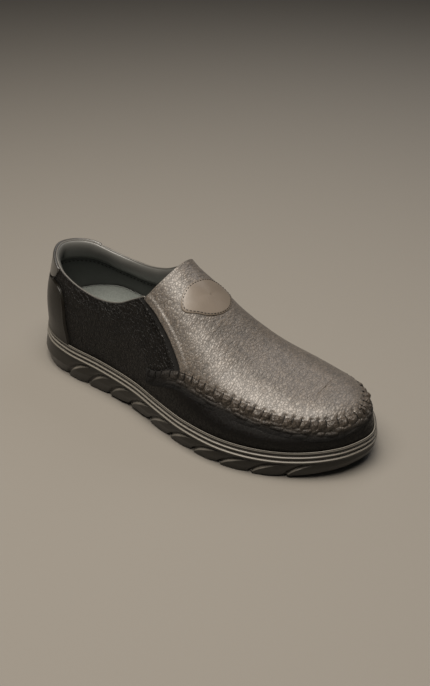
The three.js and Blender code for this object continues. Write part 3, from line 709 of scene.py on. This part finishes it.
back = Vector((
    math.sin(CAMERA_AZIMUTH) * math.cos(CAMERA_ELEVATION),
    -math.cos(CAMERA_AZIMUTH) * math.cos(CAMERA_ELEVATION),
    math.sin(CAMERA_ELEVATION),
))
right = Vector((math.cos(CAMERA_AZIMUTH), math.sin(CAMERA_AZIMUTH), 0))
up = back.cross(right)
turned_right = right * math.cos(CAMERA_ROLL) + up * math.sin(CAMERA_ROLL)
turned_up = up * math.cos(CAMERA_ROLL) - right * math.sin(CAMERA_ROLL)
target = (Vector(CAMERA_TARGET) + Vector(SHIFT.tolist())) * MM
camera_data = bpy.data.cameras.new("camera")
camera_data.sensor_width = 36
camera_data.lens = 36 * FOCAL_PIXELS / FRAME_HEIGHT
camera = bpy.data.objects.new("camera", camera_data)
camera.matrix_world = Matrix.Translation(target + back * CAMERA_DISTANCE * MM) @ Matrix(
    (turned_right, turned_up, back)).transposed().to_4x4()
bpy.context.scene.collection.objects.link(camera)
bpy.context.scene.camera = camera


# Outsole


def sole_bottom(x):
    share = x / SOLE_LENGTH
    in_arch = np.clip((share - ARCH_SPAN[0]) / (ARCH_SPAN[1] - ARCH_SPAN[0]), 0, 1)
    in_toe = np.maximum(0, (share - SPRING_START) / (1 - SPRING_START))
    return ARCH_RISE * np.sin(math.pi * in_arch) ** 2 + TOE_SPRING * in_toe**2


def bezier(points, count):
    t = np.linspace(0, 1, count)[:, None]
    a, b, c, d = (np.asarray(p, float) for p in points)
    return (1 - t) ** 3 * a + 3 * t * (1 - t) ** 2 * b + 3 * t**2 * (1 - t) * c + t**3 * d


def groove_mask(x, z):
    """How deep the sole's slanted grooves are at a side-view place, from 0 to 1."""
    mask = np.zeros_like(x)
    for k in range(GROOVE_COUNT):
        start = lerp(*GROOVE_SPAN, k / (GROOVE_COUNT - 1)) * SOLE_LENGTH
        tip_x = start + GROOVE_LEAN
        tip_z = float(sole_top(np.array(tip_x))) - RIB_BAND_HEIGHT
        rear = bezier([(start, -1), (start + 0.12 * GROOVE_LEAN, 0.55 * tip_z),
                       (start + 0.4 * GROOVE_LEAN, 0.9 * tip_z), (tip_x, tip_z)], 40)
        front = bezier([(start + GROOVE_WIDTH, -1), (start + GROOVE_WIDTH + 0.12 * GROOVE_LEAN, 0.45 * tip_z),
                        (start + 0.5 * GROOVE_LEAN, 0.84 * tip_z), (tip_x, tip_z)], 40)
        low = np.interp(z, rear[:, 1], rear[:, 0])
        high = np.interp(z, front[:, 1], front[:, 0])
        scoop = 0.35 * smoothstep(x, low - 7.0, low) + 0.65 * smoothstep(x, low - 0.5, low + 2.0)
        inside = scoop * (1 - smoothstep(x, high - 1.4, high + 0.4))
        mask = np.maximum(mask, np.where(z < tip_z, inside, 0))
    return mask


def rib_inset(b):
    """Inset of the rib band's surface at shares of its height: three ribs, each set back a little."""
    floor_inset = RIB_DEPTH + 1.5
    deep = np.full_like(b, floor_inset)
    for centre, half, crown in ((0.1, 0.16, -0.1), (0.5, 0.15, 0.55), (0.87, 0.14, 1.15)):
        arc = np.clip(1 - np.abs((b - centre) / half) ** 3, 0, 1) ** 0.5
        deep = np.minimum(deep, lerp(floor_inset, crown, arc))
    return deep


def outsole():
    u = np.linspace(0, U_END, 1180, endpoint=False)
    edge_x = edge_point(u, 0)[:, 0]
    heel = smoothstep(-edge_x, -FLARE_END * SOLE_LENGTH, 0)
    band_foot = sole_top(edge_x) - RIB_BAND_HEIGHT
    rows = []
    wall = np.concatenate([[0.0, 0.03, 0.08], np.linspace(0.14, 0.9, 20), [0.95, 1.0]])
    heights = [0, 0.08, 0.5, 0.94, 1]
    insets = [WALL_TAPER + FLOOR_BEVEL, WALL_TAPER, 0.5 * WALL_TAPER, RIB_DEPTH + 0.5, RIB_DEPTH + 0.75]
    flares = [0.1, 0.5, 1.0, 0.6, 0.4]

    def add(inset, z):
        p = edge_point(u, inset)
        rows.append(np.concatenate([p, z[:, None]], axis=1))

    core = 0.5 * WALL_TAPER + GROOVE_DEPTH
    for share in (0.0, 0.3, 0.6, 0.85, 1.0):
        x, y, cx, cy, r = plane(u)
        d = (r - core) * share
        px = x + cx * d
        z = sole_bottom(edge_point(u, core)[:, 0])
        z = lerp(sole_bottom(px), z, share)
        z = z + TREAD_DEPTH * groove_mask(px, np.full_like(px, 0.5 * TREAD_DEPTH))
        rows.append(np.stack([px, y + cy * d, z], axis=1))
    for share in wall:
        inset = np.interp(share, heights, insets) - HEEL_FLARE * heel * np.interp(share, heights, flares)
        z = lerp(sole_bottom(edge_x), band_foot, share)
        groove = groove_mask(edge_x, z - sole_bottom(edge_x) * (1 - share))
        fade = 1 - smoothstep(z, band_foot - 1.0, band_foot)
        inset = inset + GROOVE_DEPTH * groove * fade
        z = z + (TREAD_DEPTH * groove if share == 0 else 0)
        add(inset, z)
    for b in np.linspace(0.0, 1.0, 26):
        add(rib_inset(np.full_like(u, b)), band_foot + b * RIB_BAND_HEIGHT)
    top = sole_top(edge_x)
    add(LIP_WIDTH * 0.55 + 0 * u, top + 0.15)
    add(LIP_WIDTH - 0.25 + 0 * u, top)
    add(LIP_WIDTH + 0 * u, top - 0.3)
    add(LIP_WIDTH + 0 * u, top - LIP_DEPTH)
    for share in (0.6, 0.02):
        x, y, cx, cy, r = plane(u)
        d = (r - LIP_WIDTH) * share
        rows.append(np.stack([x + cx * d, y + cy * d, top - LIP_DEPTH], axis=1))
    grid = np.stack(rows)
    faces = grid_faces(*grid.shape[:2], True).tolist()
    piece("outsole_rubber", grid.reshape(-1, 3), faces, RUBBER, "outsole")


# Upper

SEAM_REAR = 0.459  # where the mudguard's seam ends behind the gore, as a share of the sole's length
MUDGUARD_LIFT = 0.9
GATHER_BASE = 0.75
STITCH_INSET = 6.3
EDGE_ROUND = 1.1
PAD_SWELL = 1.3
PAD_SWELL_DEPTH = 20.0
GORE_FOOT = GORE["up"][-1] * VAMP_CREST_HEIGHT
GORE_HEAD = GORE["up"][0] * VAMP_CREST_HEIGHT


def rounded(distance, width):
    """Height, from 0 to 1, of an edge rounded over a width."""
    return np.sqrt(np.clip(1 - (1 - np.clip(distance / width, 0, 1)) ** 2, 0, 1))


def rim_rows(edge, normal, upward, wide):
    """Rows that carry a sheet's top edge over and inwards in a half round."""
    turns = math.pi * np.arange(1, 6) / 5
    return np.stack([edge - normal * wide * (1 - math.cos(t)) + upward * wide * math.sin(t) for t in turns])


def seam_path():
    """The seam line from its lateral rear end round the toe to its medial rear end."""
    x = SEAM_REAR * SOLE_LENGTH
    u = np.linspace(lateral_u(x), medial_u(x), 3000)
    share = seam_share(u)
    line = last(u, share)
    s = np.concatenate([[0], np.cumsum(np.linalg.norm(np.diff(line, axis=0), axis=1))])
    return {"u": u, "share": share, "s": s}


SEAM_PATH = seam_path()
SEAM_LENGTH = SEAM_PATH["s"][-1]
GATHERS = round(SEAM_LENGTH / GATHER_PITCH)


def seam_at(s, drop):
    """Place on the last at an arc length along the seam and a distance below it."""
    u = np.interp(s, SEAM_PATH["s"], SEAM_PATH["u"])
    share = np.interp(s, SEAM_PATH["s"], SEAM_PATH["share"])
    per = stretch(u, share)
    return u, share - drop / per


def pillow_row(t, start, width):
    """Section of one row of gathers: steep under the edge above it, drawn out below."""
    x = np.clip((t - start) / width, 0, 1)
    return np.sin(math.pi * x**0.72) ** 0.75


# Smaller puckers under the row of gathers: place and width down the leather, height in
# millimetres, and how many there are for each gather.
PUCKERS = {
    "start": [4.2, 6.6, 8.9],
    "width": [3.6, 3.2, 3.2],
    "height": [2.4, 1.7, 0.8],
    "count": [0.83, 0.71, 0.6],
}
GATHERED_DEPTH = 12.2


def gather_phase(s):
    """Number of gathers passed at an arc length along the seam, unevenly spaced."""
    even = s * GATHERS / SEAM_LENGTH
    return even + 0.2 * np.sin(0.9 * even) + 0.09 * np.sin(2.3 * even)


def gap_places():
    """Arc lengths of the gaps between the gathers."""
    s = np.linspace(0, SEAM_LENGTH, 4000)
    return np.interp(np.arange(1, GATHERS), gather_phase(s), s)


def gather_height(s, t):
    """Height of the gathered leather: s along the seam, t below its upper edge."""
    phase = gather_phase(s)
    whole = np.floor(phase)
    varied = 1 + 0.16 * np.sin(whole * 2.399) + 0.12 * np.sin(whole * 5.1)
    pillow = np.sin(math.pi * np.mod(phase, 1)) ** 0.7
    height = GATHER_HEIGHT * pillow_row(t, -0.7, GATHER_ROW + 1.4) * (0.25 + 0.75 * pillow * varied)
    for k in range(len(PUCKERS["start"])):
        start, width, tall, count = (PUCKERS[key][k] for key in ("start", "width", "height", "count"))
        own = phase * count + 0.37 * k + 0.35 * np.sin(phase * (0.9 + 0.2 * k)) + 0.04 * t
        rough = 0.72 + 0.4 * np.sin(np.floor(own) * 1.93 + k)
        row = pillow_row(t, start + 0.5 * np.sin(phase * 1.3 + k), width)
        fold = tall * row * (0.3 + 0.7 * np.sin(math.pi * np.mod(own, 1)) ** 0.7) * rough
        height = np.maximum(height, fold)
    return height


def quarters():
    """The rear of the upper: from the gores back round the heel, up to the collar."""
    ahead = 0.62 * SOLE_LENGTH
    u = np.linspace(medial_u(ahead) - U_END, lateral_u(ahead), 560)
    cap = opening_share(u)
    rows = 96
    v = np.linspace(0, 1, rows)[:, None]
    share = v * cap
    p, n, _ = last_frame(u, share)
    offset = 0.35 * wobble(p, 16.0) + 0.12 * wobble(p, 5.0, 7.0)
    below_collar = (cap - share) * stretch(u, share)
    padded = np.sin(math.pi * np.clip(below_collar / PAD_SWELL_DEPTH, 0, 1)) ** 1.5
    padded = padded * smoothstep(-p[..., 0], -112.0, -95.0) * smoothstep(p[..., 0], 36.0, 54.0)
    offset += PAD_SWELL * padded
    folded = gore_x(p[..., 2]) - GORE_WIDTH
    inside = folded - p[..., 0]
    beside = (p[..., 2] > 50) & (p[..., 2] < 96)
    strength = smoothstep(p[..., 2], 50, 56)
    offset += np.where(beside, strength * 0.9 * np.exp(-((inside - 1.2) / 1.3) ** 2), 0)
    offset -= np.where(beside, strength * 0.35 * np.exp(-((inside - 5.0) / 0.7) ** 2), 0)
    offset -= np.where(beside, strength * 1.5 * smoothstep(-inside, -0.5, 0.5), 0)
    body = p + n * offset[..., None]
    _, normal, upward = last_frame(u, cap)
    has_rim = smoothstep(1 - cap, 0.002, 0.02)[:, None]
    grid = np.concatenate([body, rim_rows(body[-1], normal, upward, 0.5 * (UPPER_WALL - 0.6) * has_rim)])
    outward = np.concatenate([n, np.repeat(normal[None], 5, axis=0)])
    grid_piece("quarter_leather", grid, SIDE_LEATHER, "upper", outward)


def mudguard():
    """The vamp's lower wall round the toe, from the sole's lip up to the gathered seam."""
    s = np.linspace(0, SEAM_LENGTH, 1150)
    u = np.interp(s, SEAM_PATH["s"], SEAM_PATH["u"])
    share_top = np.interp(s, SEAM_PATH["s"], SEAM_PATH["share"])
    per = stretch(u, share_top)
    v = 1 - (1 - np.linspace(0, 1, 60)[:, None]) ** 1.35
    share = v * share_top
    p, n, _ = last_frame(u, share)
    t = (share_top - share) * per
    from_end = np.minimum(s, SEAM_LENGTH - s)
    lift = MUDGUARD_LIFT * (0.55 + 0.45 * np.exp(-from_end / 30))
    ends = smoothstep(from_end, -0.01, 1.0)
    offset = lift * ends * smoothstep(t, 9.0, GATHERED_DEPTH) + 0.25 * wobble(p, 14.0, 3.0)
    depth = per * share_top
    foot = smoothstep(t, depth - 5.5, depth - 3.0)
    offset = offset * (1 - 0.85 * foot)
    grid = p + n * offset[..., None]
    grid_piece("mudguard_leather", grid, MUDGUARD_LEATHER, "upper", n)


def gathers():
    s = np.linspace(0, SEAM_LENGTH, 1800)
    t = np.concatenate([[-0.9, -0.7], np.linspace(-0.25, GATHERED_DEPTH, 52), [GATHERED_DEPTH + 0.5]])
    u, share = seam_at(s, t[:, None])
    p, n, _ = last_frame(u, share)
    from_end = np.minimum(s, SEAM_LENGTH - s)
    ends = smoothstep(from_end, 0.0, 4.0)
    rear = 0.5 + 0.5 * smoothstep(from_end, 25.0, 60.0)
    hidden = 1 - 0.55 * smoothstep(u, U_TIP + 30.0, U_TIP + 90.0)
    height = gather_height(s, t[:, None]) * ends * rear * hidden
    height = height * (1 + 0.35 * wobble(p, 3.4, 11.0) + 0.2 * wobble(p, 1.5, 4.0))
    base = np.where(t[:, None] < -0.8, 0.1, GATHER_BASE) - 0.15 * smoothstep(t[:, None], 9.0, GATHERED_DEPTH)
    base = np.where(t[:, None] > GATHERED_DEPTH, -0.3, base)
    grid = p + n * (base + height)[..., None]
    # Painted sheen: the light base colour is strongest under the apron's edge and fades to near black down the leather
    # and towards the seam's ends.
    tone_and_painted_sheen = np.interp(t, [0, 4, 6.5, 9, GATHERED_DEPTH - 1], [1, 0.85, 0.5, 0.12, 0.04])[:, None]
    tone_and_painted_sheen = tone_and_painted_sheen * lerp(0.06, 1.0, smoothstep(from_end, 8.0, 62.0))
    grid_piece("moc_seam_gathers", grid, GATHER_LEATHER_PAINTED_SHEEN, "moc_seam", n, tone_and_painted_sheen=tone_and_painted_sheen)


def seam_thread():
    """Dark whip stitches: one over each gap between gathers, from the apron to the mudguard."""
    points, faces = [], []
    sides, rings = 6, 12
    for s in gap_places():
        t = np.linspace(-1.7, GATHER_ROW * 0.7, rings)
        u, share = seam_at(np.full(rings, s) + 0.9 * np.linspace(-0.5, 0.5, rings), t)
        p, n, _ = last_frame(u, share)
        in_gap = GATHER_BASE + gather_height(np.full(rings, s), t) + 0.25
        height = np.where(t < 0, SEAT_GAP + OVERLAY - 0.25, in_gap)
        height[1:-1] = (height[:-2] + height[1:-1] + height[2:]) / 3
        height[[0, -1]] -= 0.6
        path = p + n * height[:, None]
        tangent = unit(np.gradient(path, axis=0))
        side = unit(np.cross(tangent, n))
        start = len(points)
        for j in range(rings):
            for m in range(sides):
                turn = 2 * math.pi * m / sides
                points.append(path[j] + THREAD_RADIUS * (math.cos(turn) * side[j] + math.sin(turn) * n[j]))
        faces.extend(grid_faces(rings, sides, True, start)[:, ::-1].tolist())
        faces.append([start + m for m in range(sides)])
        faces.append([start + (rings - 1) * sides + m for m in reversed(range(sides))])
    piece("moc_seam_thread", points, faces, THREAD, "moc_seam")


def side_line(side, ahead, z_low, z_high, count, offset):
    """A line parallel to the gore line on one side, ahead of it by a distance, from low to high."""
    z = np.linspace(z_low, z_high, count)
    u = side_u(side, gore_x(z) + ahead)
    p, n, _ = last_frame(u, share_at_height(u, z))
    return p + n * offset, n


def apron():
    stations = np.linspace(0.404 * SOLE_LENGTH, TOE_CENTRE, 200)
    u = np.concatenate([
        lateral_u(stations[:-1]),
        np.linspace(U_TOE, U_MEDIAL, 190, endpoint=False),
        medial_u(stations[::-1]),
    ])
    cap = opening_share(u)
    seam = seam_share(u)
    gore = share_below(u, lambda p: (p[..., 0] < gore_x(p[..., 2])) | (p[..., 2] < GORE_FOOT))
    behind_gore = last(u, seam)[:, 0] < GORE["along"][-1] * SOLE_LENGTH
    low = np.where(behind_gore, gore, seam)
    keep = low < cap - 0.004
    u, cap, low = u[keep], cap[keep], low[keep]
    v = np.concatenate([np.linspace(0, 0.12, 14, endpoint=False), np.linspace(0.12, 1, 62)])[:, None]
    share = low + (cap - low) * v
    p, n, _ = last_frame(u, share)
    from_edge = (share - low) * stretch(u, share)
    to_cap = (cap - share) * stretch(u, share) + 40 * (cap > 0.999)
    roll = rounded(from_edge, EDGE_ROUND)
    roll_cap = rounded(to_cap, EDGE_ROUND)
    offset = SEAT_GAP + OVERLAY * np.minimum(roll, 0.35 + 0.65 * roll_cap)
    for side in ("lateral", "medial"):
        line, _ = side_line(side, STITCH_INSET, GORE_FOOT - 3, GORE_HEAD, 160, SEAT_GAP + OVERLAY)
        d = near_line(p, line)
        offset -= 0.5 * np.exp(-((d / 0.8) ** 2))
        gore_edge, _ = side_line(side, 0.0, GORE_FOOT, GORE_HEAD, 160, SEAT_GAP + OVERLAY)
        e = near_line(p, gore_edge)
        offset += 0.7 * (1 - smoothstep(e, 4.5, 6.5)) * roll
    holes = seam_holes()
    dip = near_line(p, holes)
    offset -= 0.75 * np.exp(-((dip / 1.3) ** 2)) * (from_edge < 6)
    offset += 0.3 * wobble(p, 22.0, 5.0) + 0.12 * wobble(p, 6.0, 9.0)
    offset = np.maximum(offset, 0.05)
    grid = p + n * offset[..., None]
    under = p[0] - n[0] * 0.3
    over = grid[-1] - n[-1] * ((0.3 + offset[-1]) * (cap < 0.999))[:, None]
    grid = np.concatenate([under[None], grid, over[None]])
    outward = np.concatenate([n[:1], n, n[-1:]])
    grid_piece("apron_leather_painted_sheen", grid, APRON_LEATHER_PAINTED_SHEEN, "vamp_apron", outward)


def seam_holes():
    u, share = seam_at(gap_places(), np.full(GATHERS - 1, -1.6))
    return last(u, share)


def gore(side):
    z = np.linspace(GORE_FOOT - 2.0, GORE_HEAD, 110)[:, None]
    w = np.linspace(-1.2, GORE_WIDTH + 1.0, 26)
    u = side_u(side, gore_x(z) - w + 0 * z)
    share = np.minimum(share_at_height(u, z + 0 * w), opening_share(u) - 0.004)
    p, n, _ = last_frame(u, share)
    ribs = 0.1 * np.cos(2 * math.pi * w / 1.1)
    grid = p + n * (0.05 + ribs + 0 * z)[..., None]
    grid_piece(f"gore_{side}_elastic", grid, ELASTIC, f"gore_{side}", n)


# Heel


def edge_u(side, z, along):
    """Half-plane at which the last's skin at a height lies at a place along the sole."""
    sign = 1 if side == "lateral" else -1
    low, high = np.zeros_like(z), np.full_like(z, U_LATERAL + 60.0)
    for _ in range(26):
        middle = (low + high) / 2
        x = last(sign * middle, share_at_height(sign * middle, z))[..., 0]
        behind = x < along
        low, high = np.where(behind, middle, low), np.where(behind, high, middle)
    return sign * low


def tab_height(x):
    return COLLAR_BACK_HEIGHT * column(TAB, "up", x / SOLE_LENGTH)


def heel_counter():
    cols, rows = 190, 64
    c = np.linspace(-1, 1, cols) * np.ones((rows, 1))
    v = np.linspace(0, 1, rows)[:, None] * np.ones((1, cols))
    x = np.full_like(v, 20.0)
    for _ in range(6):
        z_low = sole_top(x) + 0.2
        z = lerp(z_low, tab_height(np.minimum(x, COUNTER["along"][-1] * SOLE_LENGTH)) - 0.2, v)
        front = SOLE_LENGTH * column(COUNTER, "along", z / COLLAR_BACK_HEIGHT, base="up")
        lateral = edge_u("lateral", z, front)
        medial = edge_u("medial", z, front)
        u = np.where(c > 0, c * lateral, -c * medial)
        x = last(u, share_at_height(u, z))[..., 0]
    share = share_at_height(u, z)
    p, n, _ = last_frame(u, share)
    reach_edge = np.abs(1 - np.abs(c)) * np.abs(np.where(c > 0, lateral, medial))
    roll = np.minimum(rounded(reach_edge, 1.4), rounded((1 - v) * 44, 1.0) * 0.8 + 0.2)
    offset = 0.15 + (COUNTER_THICKNESS + 0.25) * roll + 0.8 * np.exp(-((reach_edge - 1.5) / 1.1) ** 2) * roll
    offset += 0.2 * wobble(p, 18.0, 2.0)
    grid = p + n * offset[..., None]
    grid_piece("heel_counter_leather", grid, SMOOTH_LEATHER, "heel_counter", n)


def heel_tab():
    u_all = np.linspace(-(U_LATERAL + 20.0), U_LATERAL + 20.0, 260)
    cap = opening_share(u_all)
    low = share_below(u_all, lambda p: p[..., 2] < tab_height(p[..., 0]) + SEAT_GAP)
    keep = (low < cap - 0.002) & (last(u_all, cap)[:, 0] < TAB["along"][-1] * SOLE_LENGTH)
    u, cap, low = u_all[keep], cap[keep], low[keep]
    v = np.linspace(0, 1, 40)[:, None]
    share = low + (cap - low) * v
    p, n, _ = last_frame(u, share)
    from_edge = (share - low) * stretch(u, share)
    ends = np.minimum(np.arange(len(u)), len(u) - 1 - np.arange(len(u))) / 2.5
    roll = rounded(np.minimum(from_edge / 1.2, ends), 1.0)
    offset = 0.1 + (COUNTER_THICKNESS + 0.35) * roll + 0.15 * wobble(p, 12.0, 4.0)
    body = p + n * offset[..., None]
    _, normal, upward = last_frame(u, cap)
    rim = rim_rows(body[-1], normal, upward, 0.5 * (COUNTER_THICKNESS + 1.0))
    grid = np.concatenate([(p[0] - n[0] * 0.3)[None], body, rim])
    outward = np.concatenate([n[:1], n, np.repeat(normal[None], 5, axis=0)])
    grid_piece("heel_tab_leather", grid, TAB_LEATHER, "heel_tab", outward)


# Inside


def pad_columns(count):
    front = VAMP_FOOT[0] * SOLE_LENGTH - PAD_FRONT_GAP + 2.0
    return np.linspace(medial_u(front) - U_END, lateral_u(front), count)


def collar_roll():
    u = pad_columns(360)
    cap = opening_share(u)
    per = stretch(u, cap)
    phi = np.linspace(0, 1, 40)[:, None]
    t = -0.9 * (1 - phi) ** 2 + PAD_HEIGHT * phi
    share = cap - t / per
    p, n, up_dir = last_frame(u, np.minimum(share, cap))
    lift = np.maximum(0, (share - cap) * per)
    bulge = 0.9 + (PAD_THICKNESS + 1.4) * np.sin(math.pi * np.clip(phi, 0, 1) ** 0.8) ** 0.6
    bulge = bulge + 0.35 * wobble(p, 14.0, 6.0)
    offset = -np.minimum(bulge, 6.2)
    grid = p + n * offset[..., None] + up_dir * lift[..., None]
    roll = grid_piece("collar_roll", grid, ROLL_LEATHER, "collar_pad", -n)
    # Painted highlight: a thin grey tube along the collar's edge in place of the light line caught there.
    edge = last_frame(u, cap)
    path = edge[0] - edge[1] * 1.25 + edge[2] * 0.55
    tube("collar_edge_highlight_tube", path, edge[1], 0.75, COLLAR_EDGE_HIGHLIGHT, "collar_pad")
    seam_p, seam_n, _ = last_frame(u, cap - (PAD_HEIGHT + 1.2) / per)
    beads("collar_stitches", seam_p - seam_n * (UPPER_WALL + 0.75), -seam_n, 3.4, 2.3, 0.4, THREAD)


def lining():
    u = np.linspace(0, U_END, 520, endpoint=False)
    cap = opening_share(u)
    per = stretch(u, cap)
    x = last(u, cap)[:, 0]
    front = VAMP_FOOT[0] * SOLE_LENGTH - PAD_FRONT_GAP
    drop = (PAD_HEIGHT - 0.8) * (1 - smoothstep(x, front - 1.0, front + 3.0))
    top = np.where(cap > 0.999, 1.0, cap - drop / per)
    v = np.linspace(0, 1, 60)[:, None]
    share = top * v
    p, n, _ = last_frame(u, share)
    offset = -UPPER_WALL - 0.15 + 0.3 * wobble(p, 20.0, 8.0)
    grid = p + n * offset[..., None]
    grid_piece("quarter_lining", grid, LINING, "upper", -n, closed=True)


def insole():
    """Cupped sock: flat in its middle, its rim rolled up against the lining."""
    u = np.linspace(0, U_END, 420, endpoint=False)
    inset = LIP_WIDTH + UPPER_WALL + 3 * SEAT_GAP
    x, y, cx, cy, r = plane(u)
    along = (x + cx * r) / SOLE_LENGTH
    bed = sole_top(x + cx * r) - LIP_DEPTH + SEAT_GAP
    thickness = INSOLE_THICKNESS * column(FOOTBED, "thickness", along)
    rim = INSOLE_RIM_RISE * column(FOOTBED, "rim", along)
    rows = []
    for share in np.concatenate([[0.0, 0.15, 0.3, 0.42], np.linspace(0.5, 0.97, 22)]):
        rise = smoothstep(share, 0.5, 1.05) ** 1.1
        middle = smoothstep(share, 0.0, INSOLE_FLAT)
        px = x + cx * (r - inset) * share
        own = INSOLE_THICKNESS * column(FOOTBED, "thickness", px / SOLE_LENGTH)
        z = lerp(sole_top(px) - LIP_DEPTH + SEAT_GAP + own, bed + thickness, middle) + rim * rise
        rows.append(np.stack([px, y + cy * (r - inset) * share, z], axis=1))
    for lean, height in ((INSOLE_RIM_LEAN + 0.6, 0.95), (INSOLE_RIM_LEAN, 0.9), (0.6, 0.2)):
        d = r - inset - lean
        rows.append(np.stack([x + cx * d, y + cy * d, bed + thickness + rim * height - 0.4], axis=1))
    grid = np.stack(rows)
    grid[..., 2] += 0.25 * wobble(grid, 18.0, 1.5)
    up_dir = np.zeros_like(grid)
    up_dir[..., 2] = 1
    grid_piece("insole_sock", grid, SOCK, "insole", up_dir, closed=True)


def badge():
    turn = np.linspace(0, 2 * math.pi, 160, endpoint=False)
    pull = (1 + BADGE_POINT * np.cos(3 * turn)) / 2
    ahead, across = BADGE_LENGTH * pull * np.cos(turn), BADGE_WIDTH * pull * np.sin(turn)
    cos_turn, sin_turn = math.cos(BADGE_TURN), math.sin(BADGE_TURN)
    edge = np.stack([ahead * cos_turn + across * sin_turn, across * cos_turn - ahead * sin_turn], axis=1)
    centre = np.array([BADGE_PLACE[0] * SOLE_LENGTH, BADGE_PLACE[1] * BALL_WIDTH])

    def on_skin(plan, offset):
        x, y = plan[..., 0] + centre[0], plan[..., 1] + centre[1]
        u_lat, u_med = lateral_u(x), medial_u(x)
        root_y = plane(u_lat)[1]
        u = np.where(y < root_y, u_lat, u_med)
        r = np.abs(y - root_y)
        share = share_below(u, lambda p: np.abs(p[..., 1] - plane(u)[1]) > r)
        p, n, _ = last_frame(u, share)
        n = np.where(np.abs(y - root_y)[..., None] < 1.0, unit(n * [1, 0, 1]), n)
        return p + n * np.asarray(offset)[..., None], n

    rows, normals = [], []
    section = ((0.02, 1.0), (0.3, 1.0), (0.6, 1.0), (0.85, 0.97), (0.93, 0.9), (0.975, 0.72), (1.0, 0.35), (1.0, -0.5))
    for share, offset in section:
        p, n = on_skin(edge * share, np.full(len(edge), SEAT_GAP + OVERLAY + 0.1 + offset * 0.6))
        rows.append(p)
        normals.append(n)
    grid_piece("badge_patch_leather", np.stack(rows), BADGE_LEATHER_PAINTED_SHEEN, "badge_patch",
               np.stack(normals), closed=True)
    loop = np.concatenate([edge, edge[:1]])
    path, n = on_skin(loop * 0.93, np.full(len(loop), SEAT_GAP + OVERLAY + 0.7))
    beads("badge_stitches", path, n, 2.6, 1.9, 0.28, THREAD, sink=0.1)


def side_stitches():
    for side in ("lateral", "medial"):
        path, n = side_line(side, STITCH_INSET, GORE_FOOT - 1.5, GORE_HEAD - 2.5, 120, SEAT_GAP + OVERLAY - 0.45)
        beads(f"apron_stitches_{side}", path, n, 2.9, 2.1, 0.33, THREAD)
        path, n = side_line(side, -GORE_WIDTH - 5.0, GORE_FOOT - 8, GORE_HEAD - 12, 120, -0.25)
        beads(f"quarter_stitches_{side}", path, n, 2.9, 2.1, 0.33, THREAD)


outsole()
quarters()
mudguard()
gathers()
seam_thread()
apron()
for side in ("lateral", "medial"):
    gore(side)
heel_counter()
heel_tab()
collar_roll()
lining()
insole()
badge()
side_stitches()


# Floor and light


def area_light(name, place, aim, size, power, color):
    data = bpy.data.lights.new(name, "AREA")
    data.shape = "RECTANGLE"
    data.size, data.size_y = size
    data.energy = power
    data.color = color
    lamp = bpy.data.objects.new(name, data)
    lamp.location = place
    lamp.rotation_euler = (Vector(place) - Vector(aim)).to_track_quat("Z", "Y").to_euler()
    bpy.context.scene.collection.objects.link(lamp)


def floor():
    material, nodes, links, bsdf = shader("floor_plain", (0.25, 0.232, 0.205), 0.85)
    tex = noise_node(nodes, links, mapped(nodes, links, 1.0), 300.0, 4.0)
    links.new(bump(nodes, links, tex.outputs["Fac"], 0.1, 0.0005), bsdf.inputs["Normal"])
    mesh = bpy.data.meshes.new("floor")
    corners = [(-3.0, -3.0, 0), (3.0, -3.0, 0), (3.0, 3.0, 0), (-3.0, 3.0, 0)]
    mesh.from_pydata(corners, [], [(0, 1, 2, 3)])
    mesh.materials.append(material)
    obj = bpy.data.objects.new("floor", mesh)
    bpy.context.scene.collection.objects.link(obj)


floor()
area_light("overhead", (-0.02, -0.24, 1.18), (0, 0, 0.05), (1.0, 0.9), 21.5, (1.0, 0.925, 0.83))
area_light("rear_fill", (0.1, 1.0, 1.1), (0, 0.2, 0.05), (1.0, 0.7), 2.6, (0.93, 0.95, 1.0))
world = bpy.data.worlds.new("soft")
world.use_nodes = True
world.node_tree.nodes["Background"].inputs["Color"].default_value = (0.75, 0.76, 0.78, 1)
world.node_tree.nodes["Background"].inputs["Strength"].default_value = 0.05
bpy.context.scene.world = world
bpy.context.scene.view_settings.view_transform = "Standard"
